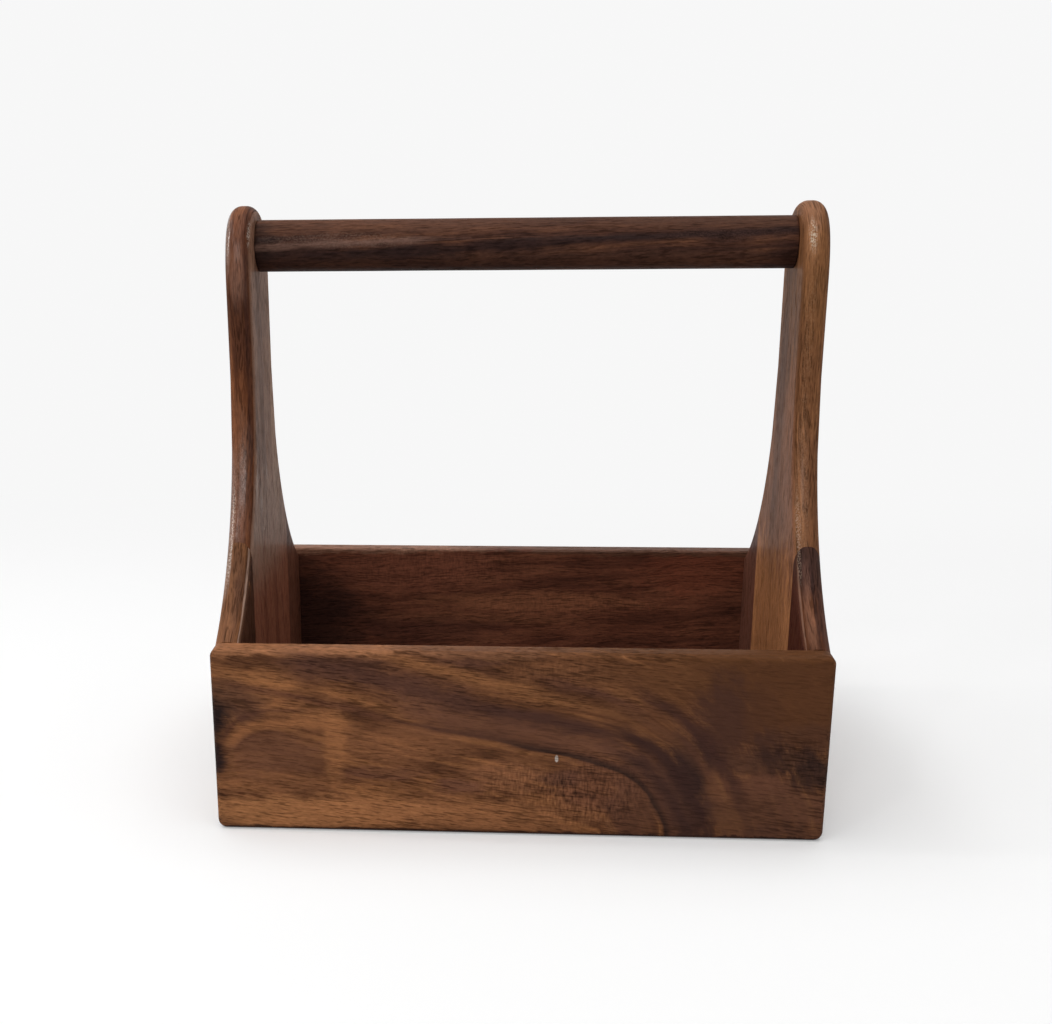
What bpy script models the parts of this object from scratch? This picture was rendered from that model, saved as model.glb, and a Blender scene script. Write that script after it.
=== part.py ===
"""Cutlery caddy: a dark hardwood carrier with shaped ends and a round handle.

The front and back panels lap over the edges of two shaped ends, and hidden
dowel pins tie each corner. Each end is glued up from three upright staves and
sawn to one sweeping outline. The floor sits in grooves, and the handle is a
round rail whose turned tenons sit in blind mortises in the ends.

X runs along the handle, Y from front to back and Z up. The origin is on the
ground under the middle of the caddy. All sizes are in metres.
"""
import math

import bmesh
import bpy
from mathutils import Matrix, Vector

# The whole caddy
CADDY_WIDTH = 0.300
CADDY_DEPTH = 0.220
CADDY_HEIGHT = 0.300
WALL_HEIGHT = 0.095

# Boards
PANEL_THICKNESS = 0.012
END_THICKNESS = 0.013
FLOOR_THICKNESS = 0.006

# Outline of the ends: a sweep up to a straight neck, under a rounded crown
NECK_WIDTH = 0.060
NECK_START_HEIGHT = 0.215
CROWN_RISE = 0.038
CROWN_FULLNESS_SHARE = 0.66
SWEEP_RUN_OUT = 0.030
END_EDGE_ROUND = 0.0055

# Staves of the ends
MIDDLE_STAVE_WIDTH = 0.110

# Handle rail and its tenons
HANDLE_DIAMETER = 0.026
HANDLE_DROP = 0.020
HANDLE_END_ROUND = 0.0008
TENON_DIAMETER = 0.016
TENON_LENGTH = 0.0085
TENON_CHAMFER = 0.0006

# Roundings of the front and back panels
PANEL_CORNER_ROUND = 0.0045
PANEL_EDGE_ROUND = 0.003
PANEL_INNER_ROUND = 0.0015

# Floor and its grooves
FLOOR_HEIGHT = 0.005
GROOVE_DEPTH = 0.004

# Dowel pins in the corners
PIN_DIAMETER = 0.006
PIN_LENGTH = 0.026
PIN_DEPTH_IN_PANEL = 0.007
PIN_CHAMFER = 0.0006
PIN_HEIGHT_SHARES = {"low": 0.17, "middle": 0.5, "high": 0.83}

# Clearances
GLUE_LINE = 0.0002
FIT_GAP = 0.0003
CUT_OVERRUN = 0.005
WELD_DISTANCE = 0.00001

# Angles in degrees
SHARP_CORNER_ANGLE = 35.0
FLAT_FACE_ANGLE = 0.1

# Counts of facets
CURVE_STEPS = 14
EDGE_ROUND_STEPS = 4
PANEL_ROUND_STEPS = 4
HANDLE_SIDES = 48
TENON_SIDES = 32
PIN_SIDES = 16

# Places worked out from the sizes above
END_INNER_X = CADDY_WIDTH / 2 - END_THICKNESS
END_CENTRE_X = CADDY_WIDTH / 2 - END_THICKNESS / 2
PANEL_INNER_Y = CADDY_DEPTH / 2 - PANEL_THICKNESS
END_EDGE_Y = PANEL_INNER_Y - GLUE_LINE
SEAM_Y = MIDDLE_STAVE_WIDTH / 2
FLOOR_TOP = FLOOR_HEIGHT + FLOOR_THICKNESS
HANDLE_HEIGHT = CADDY_HEIGHT - HANDLE_DROP

SIDES = {"left": -1, "right": 1}
FACES = {"front": -1, "back": 1}

WOOD_COLOURS = {
    "front_panel": (0.080, 0.036, 0.020),
    "back_panel": (0.052, 0.024, 0.015),
    "floor_panel": (0.070, 0.033, 0.019),
    "handle": (0.034, 0.017, 0.012),
    "left_front_stave": (0.110, 0.050, 0.025),
    "left_middle_stave": (0.062, 0.024, 0.014),
    "left_back_stave": (0.045, 0.021, 0.014),
    "right_front_stave": (0.074, 0.030, 0.018),
    "right_middle_stave": (0.135, 0.062, 0.028),
    "right_back_stave": (0.040, 0.017, 0.012),
    "dowel_pin": (0.330, 0.210, 0.110),
}
LACQUER_ROUGHNESS = 0.38
PIN_ROUGHNESS = 0.70


def clear_scene():
    """Remove every object that the scene starts with."""
    for obj in list(bpy.data.objects):
        bpy.data.objects.remove(obj, do_unlink=True)


def new_collection(name):
    """Add a collection to the scene and return it."""
    collection = bpy.data.collections.new(name)
    bpy.context.scene.collection.children.link(collection)
    return collection


def wood_material(name, colour, roughness):
    """Return a Principled material for one piece of wood."""
    material = bpy.data.materials.new(name)
    material.use_nodes = True
    shader = material.node_tree.nodes["Principled BSDF"]
    shader.inputs["Base Color"].default_value = (*colour, 1.0)
    shader.inputs["Roughness"].default_value = roughness
    shader.inputs["Metallic"].default_value = 0.0
    material.diffuse_color = (*colour, 1.0)
    return material


def add_piece(name, mesh, collection, colour_name=None, roughness=LACQUER_ROUGHNESS):
    """Add a piece of the caddy with a material of its own."""
    obj = bpy.data.objects.new(name, mesh)
    collection.objects.link(obj)
    colour = WOOD_COLOURS[colour_name or name]
    if not mesh.materials:
        mesh.materials.append(None)
    obj.material_slots[0].link = "OBJECT"
    obj.material_slots[0].material = wood_material(name + "_wood", colour, roughness)
    return obj


def add_cutter(name, mesh, collection):
    """Add a cutter, which isn't part of the caddy."""
    obj = bpy.data.objects.new(name, mesh)
    collection.objects.link(obj)
    obj.hide_render = True
    obj.display_type = "WIRE"
    return obj


def mesh_from_bmesh(name, bm):
    """Turn a bmesh into mesh data and free it."""
    mesh = bpy.data.meshes.new(name)
    bm.to_mesh(mesh)
    bm.free()
    return mesh


def box_mesh(name, low, high):
    """Return a box between two corners."""
    low = Vector(low)
    high = Vector(high)
    bm = bmesh.new()
    place = Matrix.Translation((low + high) / 2) @ Matrix.Diagonal((*(high - low), 1.0))
    bmesh.ops.create_cube(bm, size=1.0, matrix=place)
    return mesh_from_bmesh(name, bm)


def rod_mesh(name, radius, length, sides):
    """Return a plain rod, centred on its axis Z."""
    bm = bmesh.new()
    bmesh.ops.create_cone(
        bm, cap_ends=True, segments=sides, radius1=radius, radius2=radius, depth=length)
    return mesh_from_bmesh(name, bm)


def turned_mesh(name, profile):
    """Return the open profile of a turned piece, as (radius, height) points from the top down."""
    mesh = bpy.data.meshes.new(name)
    points = [(radius, 0.0, height) for radius, height in profile]
    edges = [(index, index + 1) for index in range(len(points) - 1)]
    mesh.from_pydata(points, edges, [])
    return mesh


def turn(obj, sides):
    """Turn a profile round the piece's own Z axis."""
    screw = obj.modifiers.new("turning", "SCREW")
    screw.axis = "Z"
    screw.angle = math.tau
    screw.screw_offset = 0.0
    screw.steps = sides
    screw.render_steps = sides
    screw.use_merge_vertices = True
    screw.merge_threshold = WELD_DISTANCE
    screw.use_smooth_shade = True


def cut(obj, cutter, operation="DIFFERENCE"):
    """Add a Boolean that works on a piece with a cutter."""
    boolean = obj.modifiers.new(cutter.name, "BOOLEAN")
    boolean.object = cutter
    boolean.operation = operation
    boolean.solver = "EXACT"


def smooth_rounds(mesh):
    """Shade a mesh smooth, apart from its sharp corners."""
    mesh.shade_smooth()
    mesh.set_sharp_from_angle(angle=math.radians(SHARP_CORNER_ANGLE))


def sweep_geometry():
    """Work out the arc from the panel's top corner up to the neck.

    The arc stands upright where it meets the neck and ends on the corner where
    the end's edge goes in behind the panel. Returns its radius and the angle
    that it turns through.
    """
    reach = END_EDGE_Y - NECK_WIDTH / 2
    climb = NECK_START_HEIGHT - WALL_HEIGHT
    radius = (reach ** 2 + climb ** 2) / (2 * reach)
    angle = math.atan2(climb, radius - reach)
    return radius, angle


def outline_knots():
    """Return the right half of the end's outline as knots, from the ground to the crown.

    Each knot is its point, its handle towards the knot before and its handle
    towards the knot after, all as (Y, Z). A handle of None is a straight run.
    """
    radius, angle = sweep_geometry()
    handle_length = 4 / 3 * math.tan(angle / 4) * radius
    neck_y = NECK_WIDTH / 2
    crown_start = CADDY_HEIGHT - CROWN_RISE
    corner = Vector((END_EDGE_Y, WALL_HEIGHT))
    outwards = Vector((math.sin(angle), -math.cos(angle)))
    run_out = corner + outwards * SWEEP_RUN_OUT
    neck = Vector((neck_y, NECK_START_HEIGHT))
    shoulder = Vector((neck_y, crown_start))
    crown = Vector((0.0, CADDY_HEIGHT))
    up = Vector((0.0, 1.0))
    side = Vector((1.0, 0.0))
    return [
        (Vector((run_out.x, -CUT_OVERRUN)), None, None),
        (run_out, None, None),
        (corner, None, corner - outwards * handle_length),
        (neck, neck - up * handle_length, None),
        (shoulder, None, shoulder + up * CROWN_RISE * CROWN_FULLNESS_SHARE),
        (crown, crown + side * neck_y * CROWN_FULLNESS_SHARE,
         crown - side * neck_y * CROWN_FULLNESS_SHARE),
    ]


def mirrored(knots):
    """Return the left half of the outline, from the crown's far side down to the ground."""
    def flip(point):
        return None if point is None else Vector((-point.x, point.y))
    return [(flip(point), flip(after), flip(before)) for point, before, after in reversed(knots[:-1])]


def end_blank_mesh():
    """Return an end sawn to its outline and rounded along its edges, before it is cut to staves."""
    knots = outline_knots()
    knots = knots + mirrored(knots)
    curve = bpy.data.curves.new("end_outline", "CURVE")
    curve.dimensions = "2D"
    curve.fill_mode = "BOTH"
    curve.extrude = END_THICKNESS / 2
    spline = curve.splines.new("BEZIER")
    spline.bezier_points.add(len(knots) - 1)
    spline.use_cyclic_u = True
    spline.resolution_u = CURVE_STEPS
    for knot, (point, before, after) in zip(spline.bezier_points, knots):
        knot.co = (*point, 0.0)
        knot.handle_left_type = "VECTOR" if before is None else "FREE"
        knot.handle_right_type = "VECTOR" if after is None else "FREE"
        knot.handle_left = (*(before or point), 0.0)
        knot.handle_right = (*(after or point), 0.0)
    outline = bpy.data.objects.new("end_outline", curve)
    bpy.context.scene.collection.objects.link(outline)
    depsgraph = bpy.context.evaluated_depsgraph_get()
    mesh = bpy.data.meshes.new_from_object(outline.evaluated_get(depsgraph))
    bpy.data.objects.remove(outline, do_unlink=True)
    bm = bmesh.new()
    bm.from_mesh(mesh)
    bmesh.ops.remove_doubles(bm, verts=bm.verts, dist=WELD_DISTANCE)
    bmesh.ops.dissolve_limit(
        bm, angle_limit=math.radians(FLAT_FACE_ANGLE), verts=bm.verts, edges=bm.edges)
    bm.to_mesh(mesh)
    bm.free()
    smooth_rounds(mesh)
    return mesh


def stave_mesh_ranges():
    """Return the span in Y of each stave of an end."""
    seam = SEAM_Y + GLUE_LINE / 2
    return {
        "front": (-END_EDGE_Y, -seam),
        "middle": (-SEAM_Y + GLUE_LINE / 2, SEAM_Y - GLUE_LINE / 2),
        "back": (seam, END_EDGE_Y),
    }


def make_end(side, blank, parts, cutters):
    """Make the three staves of one end, with their groove and the handle's mortise."""
    sign = SIDES[side]
    groove = add_cutter(side + "_end_groove", end_groove_mesh(sign), cutters)
    staves = {}
    for place, (low_y, high_y) in stave_mesh_ranges().items():
        name = f"{side}_{place}_stave"
        stave = add_piece(name, blank.copy(), parts)
        stave.location.x = sign * END_CENTRE_X
        stave.rotation_euler = (math.pi / 2, 0.0, math.pi / 2)
        edge_round = stave.modifiers.new("edge_round", "BEVEL")
        edge_round.width = END_EDGE_ROUND
        edge_round.segments = EDGE_ROUND_STEPS
        edge_round.limit_method = "ANGLE"
        edge_round.angle_limit = math.radians(SHARP_CORNER_ANGLE)
        half_stock = END_THICKNESS / 2 + CUT_OVERRUN
        stock = box_mesh(
            name + "_stock",
            (sign * END_CENTRE_X - half_stock, low_y, 0.0),
            (sign * END_CENTRE_X + half_stock, high_y, CADDY_HEIGHT + CUT_OVERRUN))
        cut(stave, add_cutter(name + "_stock", stock, cutters), "INTERSECT")
        cut(stave, groove)
        staves[place] = stave
    mortise = add_cutter(
        side + "_mortise",
        rod_mesh("mortise", TENON_DIAMETER / 2 + FIT_GAP,
                 TENON_LENGTH + FIT_GAP + CUT_OVERRUN, TENON_SIDES),
        cutters)
    mortise.rotation_euler.y = math.pi / 2
    mortise.location = (
        sign * (END_INNER_X + (TENON_LENGTH + FIT_GAP - CUT_OVERRUN) / 2), 0.0, HANDLE_HEIGHT)
    cut(staves["middle"], mortise)
    return staves


def end_groove_mesh(sign):
    """Return the cutter for the floor's groove in one end."""
    inner = sign * (END_INNER_X - CUT_OVERRUN)
    bottom = sign * (END_INNER_X + GROOVE_DEPTH)
    return box_mesh(
        "end_groove",
        (min(inner, bottom), -CADDY_DEPTH / 2, FLOOR_HEIGHT - FIT_GAP),
        (max(inner, bottom), CADDY_DEPTH / 2, FLOOR_TOP + FIT_GAP))


def panel_mesh():
    """Return a front or back panel with its outer face towards -Y, its foot on the ground."""
    half_thickness = PANEL_THICKNESS / 2
    mesh = box_mesh(
        "wall_panel",
        (-CADDY_WIDTH / 2, -half_thickness, 0.0),
        (CADDY_WIDTH / 2, half_thickness, WALL_HEIGHT))
    bm = bmesh.new()
    bm.from_mesh(mesh)
    weights = bm.edges.layers.float.new("bevel_weight_edge")
    for edge in bm.edges:
        middle = (edge.verts[0].co + edge.verts[1].co) / 2
        is_outer = middle.y < -half_thickness / 2
        is_inner = middle.y > half_thickness / 2
        is_top = middle.z > WALL_HEIGHT * 3 / 4 and abs(middle.x) < CADDY_WIDTH / 4
        if is_outer:
            edge[weights] = PANEL_EDGE_ROUND / PANEL_CORNER_ROUND
        elif not is_inner:
            edge[weights] = 1.0
        elif is_top:
            edge[weights] = PANEL_INNER_ROUND / PANEL_CORNER_ROUND
    bm.to_mesh(mesh)
    bm.free()
    smooth_rounds(mesh)
    return mesh


def make_panel(face, mesh, parts, cutters):
    """Make the front or the back panel, with the floor's groove stopped short of its ends."""
    sign = FACES[face]
    panel = add_piece(face + "_panel", mesh, parts)
    panel.location.y = sign * (CADDY_DEPTH / 2 - PANEL_THICKNESS / 2)
    panel.rotation_euler.z = 0.0 if face == "front" else math.pi
    edge_round = panel.modifiers.new("edge_round", "BEVEL")
    edge_round.width = PANEL_CORNER_ROUND
    edge_round.segments = PANEL_ROUND_STEPS
    edge_round.limit_method = "WEIGHT"
    groove_end = END_INNER_X + GROOVE_DEPTH
    inner = sign * (PANEL_INNER_Y - CUT_OVERRUN)
    bottom = sign * (PANEL_INNER_Y + GROOVE_DEPTH)
    groove = box_mesh(
        "panel_groove",
        (-groove_end, min(inner, bottom), FLOOR_HEIGHT - FIT_GAP),
        (groove_end, max(inner, bottom), FLOOR_TOP + FIT_GAP))
    cut(panel, add_cutter(face + "_panel_groove", groove, cutters))
    return panel


def make_floor(parts):
    """Make the floor, which sits in the grooves of all four walls."""
    half_width = END_INNER_X + GROOVE_DEPTH - FIT_GAP
    half_depth = PANEL_INNER_Y + GROOVE_DEPTH - FIT_GAP
    mesh = box_mesh(
        "floor_panel",
        (-half_width, -half_depth, FLOOR_HEIGHT),
        (half_width, half_depth, FLOOR_TOP))
    return add_piece("floor_panel", mesh, parts)


def handle_profile():
    """Return the handle's profile from one tenon to the other, as (radius, place along it)."""
    radius = HANDLE_DIAMETER / 2
    tenon = TENON_DIAMETER / 2
    shoulder = END_INNER_X - GLUE_LINE
    tip = END_INNER_X + TENON_LENGTH
    half = [
        (0.0, tip),
        (tenon - TENON_CHAMFER, tip),
        (tenon, tip - TENON_CHAMFER),
        (tenon, shoulder),
        (radius - HANDLE_END_ROUND, shoulder),
        (radius, shoulder - HANDLE_END_ROUND),
    ]
    return half + [(reach, -place) for reach, place in reversed(half)]


def make_handle(parts):
    """Make the round handle rail, which runs along X from end to end."""
    handle = add_piece("handle", turned_mesh("handle", handle_profile()), parts)
    handle.location.z = HANDLE_HEIGHT
    handle.rotation_euler.y = math.pi / 2
    turn(handle, HANDLE_SIDES)
    return handle


def pin_profile():
    """Return a dowel pin's profile with its chamfered tips."""
    radius = PIN_DIAMETER / 2
    tip = PIN_LENGTH / 2
    half = [
        (0.0, tip),
        (radius - PIN_CHAMFER, tip),
        (radius, tip - PIN_CHAMFER),
    ]
    return half + [(reach, -place) for reach, place in reversed(half)]


def make_pins(panels, ends, parts, cutters):
    """Pin each corner: every pin is half in the panel and half in the edge of the end."""
    mesh = turned_mesh("dowel_pin", pin_profile())
    hole = rod_mesh("pin_hole", PIN_DIAMETER / 2 + FIT_GAP, PIN_LENGTH + 2 * FIT_GAP, PIN_SIDES)
    for side, side_sign in SIDES.items():
        for face, face_sign in FACES.items():
            for level, share in PIN_HEIGHT_SHARES.items():
                name = f"{side}_{face}_pin_{level}"
                place = (
                    side_sign * END_CENTRE_X,
                    face_sign * (PANEL_INNER_Y + PIN_DEPTH_IN_PANEL - PIN_LENGTH / 2),
                    FLOOR_TOP + (WALL_HEIGHT - FLOOR_TOP) * share)
                pin = add_piece(name, mesh, parts, "dowel_pin", PIN_ROUGHNESS)
                turn(pin, PIN_SIDES)
                cutter = add_cutter(name + "_hole", hole, cutters)
                for obj in (pin, cutter):
                    obj.location = place
                    obj.rotation_euler.x = math.pi / 2
                cut(panels[face], cutter)
                cut(ends[side][face], cutter)


def main():
    """Build the caddy."""
    clear_scene()
    parts = new_collection("cutlery_caddy")
    cutters = new_collection("cutters")
    wall = panel_mesh()
    blank = end_blank_mesh()
    panels = {face: make_panel(face, wall, parts, cutters) for face in FACES}
    ends = {side: make_end(side, blank, parts, cutters) for side in SIDES}
    make_floor(parts)
    make_handle(parts)
    make_pins(panels, ends, parts, cutters)


main()
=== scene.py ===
"""Cutlery caddy in dark lacquered wood: fine meshes, finishes and a plain studio.

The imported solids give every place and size. Each piece of wood that shows is
made again here as a finely rounded surface in the space that its solid holds,
carved with the same groove, pin holes and mortise, and finished with a wood of
its own, whose growth rings, streaks, pores and knots run through the board. X
runs along the handle, Y from front to back and Z up. Shapes are in metres. The
finishes count in millimetres, because rings and pores are that small.
"""
import logging
import math
from dataclasses import dataclass, field
from enum import Enum
from typing import Callable, Optional, Union

import bmesh
import bpy
import numpy as np
from mathutils import Matrix, Vector


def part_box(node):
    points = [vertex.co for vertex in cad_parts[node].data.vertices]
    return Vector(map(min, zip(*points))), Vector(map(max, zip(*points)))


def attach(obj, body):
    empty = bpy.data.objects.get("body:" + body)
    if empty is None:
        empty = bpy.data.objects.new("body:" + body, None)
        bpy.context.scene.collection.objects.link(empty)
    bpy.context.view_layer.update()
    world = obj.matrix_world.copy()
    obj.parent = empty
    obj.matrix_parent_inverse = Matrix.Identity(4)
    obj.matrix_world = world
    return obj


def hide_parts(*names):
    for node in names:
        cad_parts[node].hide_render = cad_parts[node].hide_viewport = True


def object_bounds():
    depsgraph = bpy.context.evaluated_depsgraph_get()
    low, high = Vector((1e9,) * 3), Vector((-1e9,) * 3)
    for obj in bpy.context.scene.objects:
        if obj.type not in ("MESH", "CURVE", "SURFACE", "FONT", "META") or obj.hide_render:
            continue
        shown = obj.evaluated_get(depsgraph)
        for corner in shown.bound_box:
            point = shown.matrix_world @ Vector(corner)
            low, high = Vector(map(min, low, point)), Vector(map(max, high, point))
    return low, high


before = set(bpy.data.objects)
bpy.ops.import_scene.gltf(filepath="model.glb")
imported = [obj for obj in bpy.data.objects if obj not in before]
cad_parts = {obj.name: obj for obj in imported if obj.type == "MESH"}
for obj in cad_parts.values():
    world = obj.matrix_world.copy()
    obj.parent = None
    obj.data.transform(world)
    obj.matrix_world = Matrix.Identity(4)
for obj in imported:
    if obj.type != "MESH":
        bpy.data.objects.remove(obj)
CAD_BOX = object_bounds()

LOG = logging.getLogger("cutlery_caddy")
ROOT = "root"

# Small distances that the meshes share
WELD = 0.000002
FIT_GAP = 0.0003
GLUE_GAP = 0.00001
SHARP_ANGLE = math.radians(32.0)
QUARTER_TURN = math.pi / 2
MILLIMETRES = 1000.0
WHITE = (1.0, 1.0, 1.0, 1.0)

Grid = np.ndarray
Colour = tuple[float, float, float]
Point = tuple[float, float, float]
Term = Union["Signal", float]


class Grain(Enum):
    """Which axes run along, across and through a piece. The handle's grain is a wall's."""

    WALL = "XZY"
    STAVE = "ZYX"
    FLOOR = "XYZ"
    PIN = "YZX"


class Named(Enum):
    """A choice whose names are part of the nodes' names."""

    @property
    def word(self) -> str:
        """The name, as the nodes spell it."""
        return self.name.lower()


class Side(Named):
    """The two ends of the caddy, with the sign of their place on X."""

    LEFT = -1
    RIGHT = 1


class Face(Named):
    """The front and the back of the caddy, with the sign of their place on Y."""

    FRONT = -1
    BACK = 1


# Shader maths


def operator(operation: str, swapped: bool = False) -> Callable[..., "Signal"]:
    """Return a method that puts a Math node on a signal and another value.

    Args:
        operation: The node's operation.
        swapped: Whether the other value comes first.

    Returns:
        The method, which returns the node's signal.
    """
    def method(signal: "Signal", *other: Term) -> "Signal":
        """Add the node."""
        terms = (*other, signal) if swapped else (signal, *other)
        return signal.bench.maths(operation, *terms)

    return method


class Signal:
    """A value that runs between shader nodes, so that sums on it can be written as sums."""

    def __init__(self, bench: "Bench", socket: bpy.types.NodeSocket) -> None:
        """Hold the bench that adds the nodes, and the output that the value leaves."""
        self.bench = bench
        self.socket = socket

    __add__ = __radd__ = operator("ADD")
    __sub__ = operator("SUBTRACT")
    __rsub__ = operator("SUBTRACT", swapped=True)
    __mul__ = __rmul__ = operator("MULTIPLY")
    __truediv__ = operator("DIVIDE")
    __abs__ = operator("ABSOLUTE")
    at_least = operator("MAXIMUM")
    at_most = operator("MINIMUM")


class Bench:
    """The place where the nodes of one material, or of the world, are put together."""

    def __init__(self, owner: Union[bpy.types.Material, bpy.types.World]) -> None:
        """Start with nothing but the output.

        Args:
            owner: The material or the world.
        """
        self.owner = owner
        owner.use_nodes = True
        self.tree = owner.node_tree
        self.tree.nodes.clear()
        kind = "World" if isinstance(owner, bpy.types.World) else "Material"
        self.output = self.tree.nodes.new(f"ShaderNodeOutput{kind}")

    def node(self, kind: str, settings: Optional[dict] = None,
             inputs: Optional[dict] = None, output: Union[int, str] = 0) -> Signal:
        """Add a node.

        Args:
            kind: The node's type, without the word that all types begin with.
            settings: Its properties, which are set first. The stops of a ramp
                are pairs of a position and a colour, under "stops".
            inputs: Values or signals, by the name, number or identifier of a socket.
            output: The name or number of the socket that the signal leaves.

        Returns:
            The node's signal.
        """
        made = self.tree.nodes.new(f"ShaderNode{kind}")
        settings = dict(settings or {})
        self._set_stops(made, settings.pop("stops", ()))
        for key, value in settings.items():
            setattr(made, key, value)
        for key, value in (inputs or {}).items():
            socket = self._input(made, key)
            if isinstance(value, Signal):
                self.tree.links.new(value.socket, socket)
            else:
                socket.default_value = value
        return Signal(self, made.outputs[output])

    @staticmethod
    def _input(made: bpy.types.Node, key: Union[int, str]) -> bpy.types.NodeSocket:
        """Return a node's input by its number, identifier or name."""
        matches = [socket for socket in made.inputs if socket.identifier == key]
        return matches[0] if matches else made.inputs[key]

    @staticmethod
    def _set_stops(made: bpy.types.Node, stops: tuple) -> None:
        """Give a ramp its stops, in order.

        Args:
            made: The node, which is a ramp if there are stops.
            stops: Pairs of a position and a colour.
        """
        for number, (position, colour) in enumerate(stops):
            elements = made.color_ramp.elements
            element = elements[number] if number < len(elements) else elements.new(1.0)
            element.position = position
            element.color = (*colour, 1.0)

    def maths(self, operation: str, *terms: Term) -> Signal:
        """Add a Math node for one sum on values."""
        return self.node("Math", {"operation": operation}, dict(enumerate(terms)))

    def hypot(self, first: Signal, second: Signal) -> Signal:
        """Return the length of a right triangle's long side."""
        return self.maths("SQRT", first * first + second * second)

    def smooth(self, value: Signal, low: float, high: float,
               start: float = 0.0, finish: float = 1.0) -> Signal:
        """Ease from start to finish while the value goes from low to high."""
        return self.node("MapRange", {"interpolation_type": "SMOOTHSTEP"},
                         {0: value, 1: low, 2: high, 3: start, 4: finish})

    def past(self, value: Signal, limit: float, fade: float) -> Signal:
        """Ease from 0 to 1 past a limit, or from 1 to 0 where the fade is negative."""
        return self.smooth(value, limit - fade / 2, limit + fade / 2)

    def place(self, axes: str) -> tuple[Signal, ...]:
        """Return the place in the object, in metres, on each of the named axes."""
        coordinates = self.node("TexCoord", output="Object")
        return tuple(
            self.node("SeparateXYZ", inputs={0: coordinates}, output=axis) for axis in axes)

    def mix(self, share: Term, first: Union[Signal, Colour],
            second: Union[Signal, Colour]) -> Signal:
        """Lay one colour over another.

        Args:
            share: How much of the second colour there is, from 0 to 1.
            first: The colour below.
            second: The colour that is laid over it.

        Returns:
            The mixed colour.
        """
        colours = {
            key: value if isinstance(value, Signal) else (*value, 1.0)
            for key, value in (("A_Color", first), ("B_Color", second))}
        return self.node("Mix", {"data_type": "RGBA"}, {"Factor_Float": share, **colours}, 2)

    def shade(self, colour: Signal, factor: Term) -> Signal:
        """Make a colour lighter or darker by a factor."""
        return self.node("VectorMath", {"operation": "SCALE"}, {0: colour, "Scale": factor})

    def seen(self) -> Signal:
        """Pick the rays that the eye follows: straight, mirrored and clear ones.

        Returns:
            1 for them and 0 for all others.
        """
        rays = ("Is Camera Ray", "Is Glossy Ray", "Is Transmission Ray")
        straight, mirrored, clear = (self.node("LightPath", output=ray) for ray in rays)
        return straight.at_least(mirrored).at_least(clear)

    def finish(self, shader: Signal) -> Union[bpy.types.Material, bpy.types.World]:
        """Join the shader to the output and return the material or the world."""
        self.tree.links.new(shader.socket, self.output.inputs["Surface"])
        return self.owner


# Wood

# How far the cloud frays the rim of each kind of mark, and where a line's rim is
PATCH_FRAY = 1.6
LINE_FRAY = 1.2
SHINE_FRAY = 2.0
LINE_RIM = 1.1
LID_RISE = 0.6

# How the tone mixes broad rings, fine rings and a slow drift
FINE_RING_SHARE = 0.3
RING_SHARES = (0.38, 0.32, 0.30)
TONE_SPREAD = 0.115

# What the fibres, flecks and pores do to light, lacquer, roughness and height, and the thresholds
# of the painted glints' specks
FIBRE_LIGHT = 0.90
FLECK_LIGHT = 0.60
DARKEST = 0.12
CROWDING = 0.35
PORE_RANGE = (0.70, 0.84)
GLINT_SPECK_RANGE = (0.44, 0.62)
PORE_DULLNESS = 0.7
FLECK_GLOSS = 1.6
SHINE_FLECK_GLOSS = 2.2
FIBRE_ROUGHNESS = 0.25
PORE_ROUGHNESS = 0.2
FIBRE_HEIGHT = 0.5
FLECK_HEIGHT = 0.6
PORE_SINK = 0.9
BUMP_STRENGTH = 0.35
BUMP_DISTANCE = 0.0004
SPECULAR_LEVEL = 0.03


@dataclass(frozen=True)
class Texture:
    """A noise, with the size of its blobs each way, in millimetres, and its fineness."""

    along: float
    across: float
    through: float = 1.0
    detail: float = 2.0
    roughness: float = 0.5

    def noise(self, bench: Bench, place: tuple[Term, Term, Term],
              shift: Point = (0.0, 0.0, 0.0)) -> Signal:
        """Return the noise at a place.

        Args:
            bench: The material's bench.
            place: The place along, across and through the wood, in millimetres.
            shift: How far the noise is moved each way, in blobs.

        Returns:
            A soft value from 0 to 1.
        """
        sizes = (self.along, self.across, self.through)
        terms = (term / size + move if move else term / size
                 for term, size, move in zip(place, sizes, shift))
        return bench.node("TexNoise", {"noise_dimensions": "3D"}, {
            "Vector": bench.node("CombineXYZ", inputs=dict(enumerate(terms))),
            "Scale": 1.0, "Detail": self.detail, "Roughness": self.roughness})


WANDER = Texture(70.0, 26.0, 26.0)
CLOUD = Texture(17.0, 6.0, 6.0, 4.0, 0.65)
DRIFT = Texture(45.0, 18.0, 18.0, 3.0)
FIBRES = Texture(16.0, 0.9, 3.0, 3.0, 0.7)
FLECKS = Texture(2.6, 0.9, 0.9)
DASHES = Texture(7.5, 0.75, 0.75, 1.0)
CROWD = Texture(24.0, 9.0, 9.0)
WAVES = Texture(1.1, 3.6, 2.6, 1.0)
# The specks of the painted glints: pale spots mixed into the colour where a highlight catches
GLINT_SPECKS = Texture(1.1, 0.8, 0.6, 2.0, 0.6)


@dataclass
class Spot:
    """The place in a piece of wood that is shaded, in millimetres, with its ring.

    The cloud is a noise round 0 that frays the rims of all that is drawn there.
    """

    bench: Bench
    along: Signal
    across: Signal
    through: Signal
    level: Term = 0.0
    cloud: Term = 0.0

    @property
    def place(self) -> tuple[Signal, Signal, Signal]:
        """The place along, across and through the wood."""
        return self.along, self.across, self.through


@dataclass(frozen=True)
class Tones:
    """Three colours of one piece of wood, as linear red, green and blue."""

    deep: Colour
    middle: Colour
    light: Colour


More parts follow.
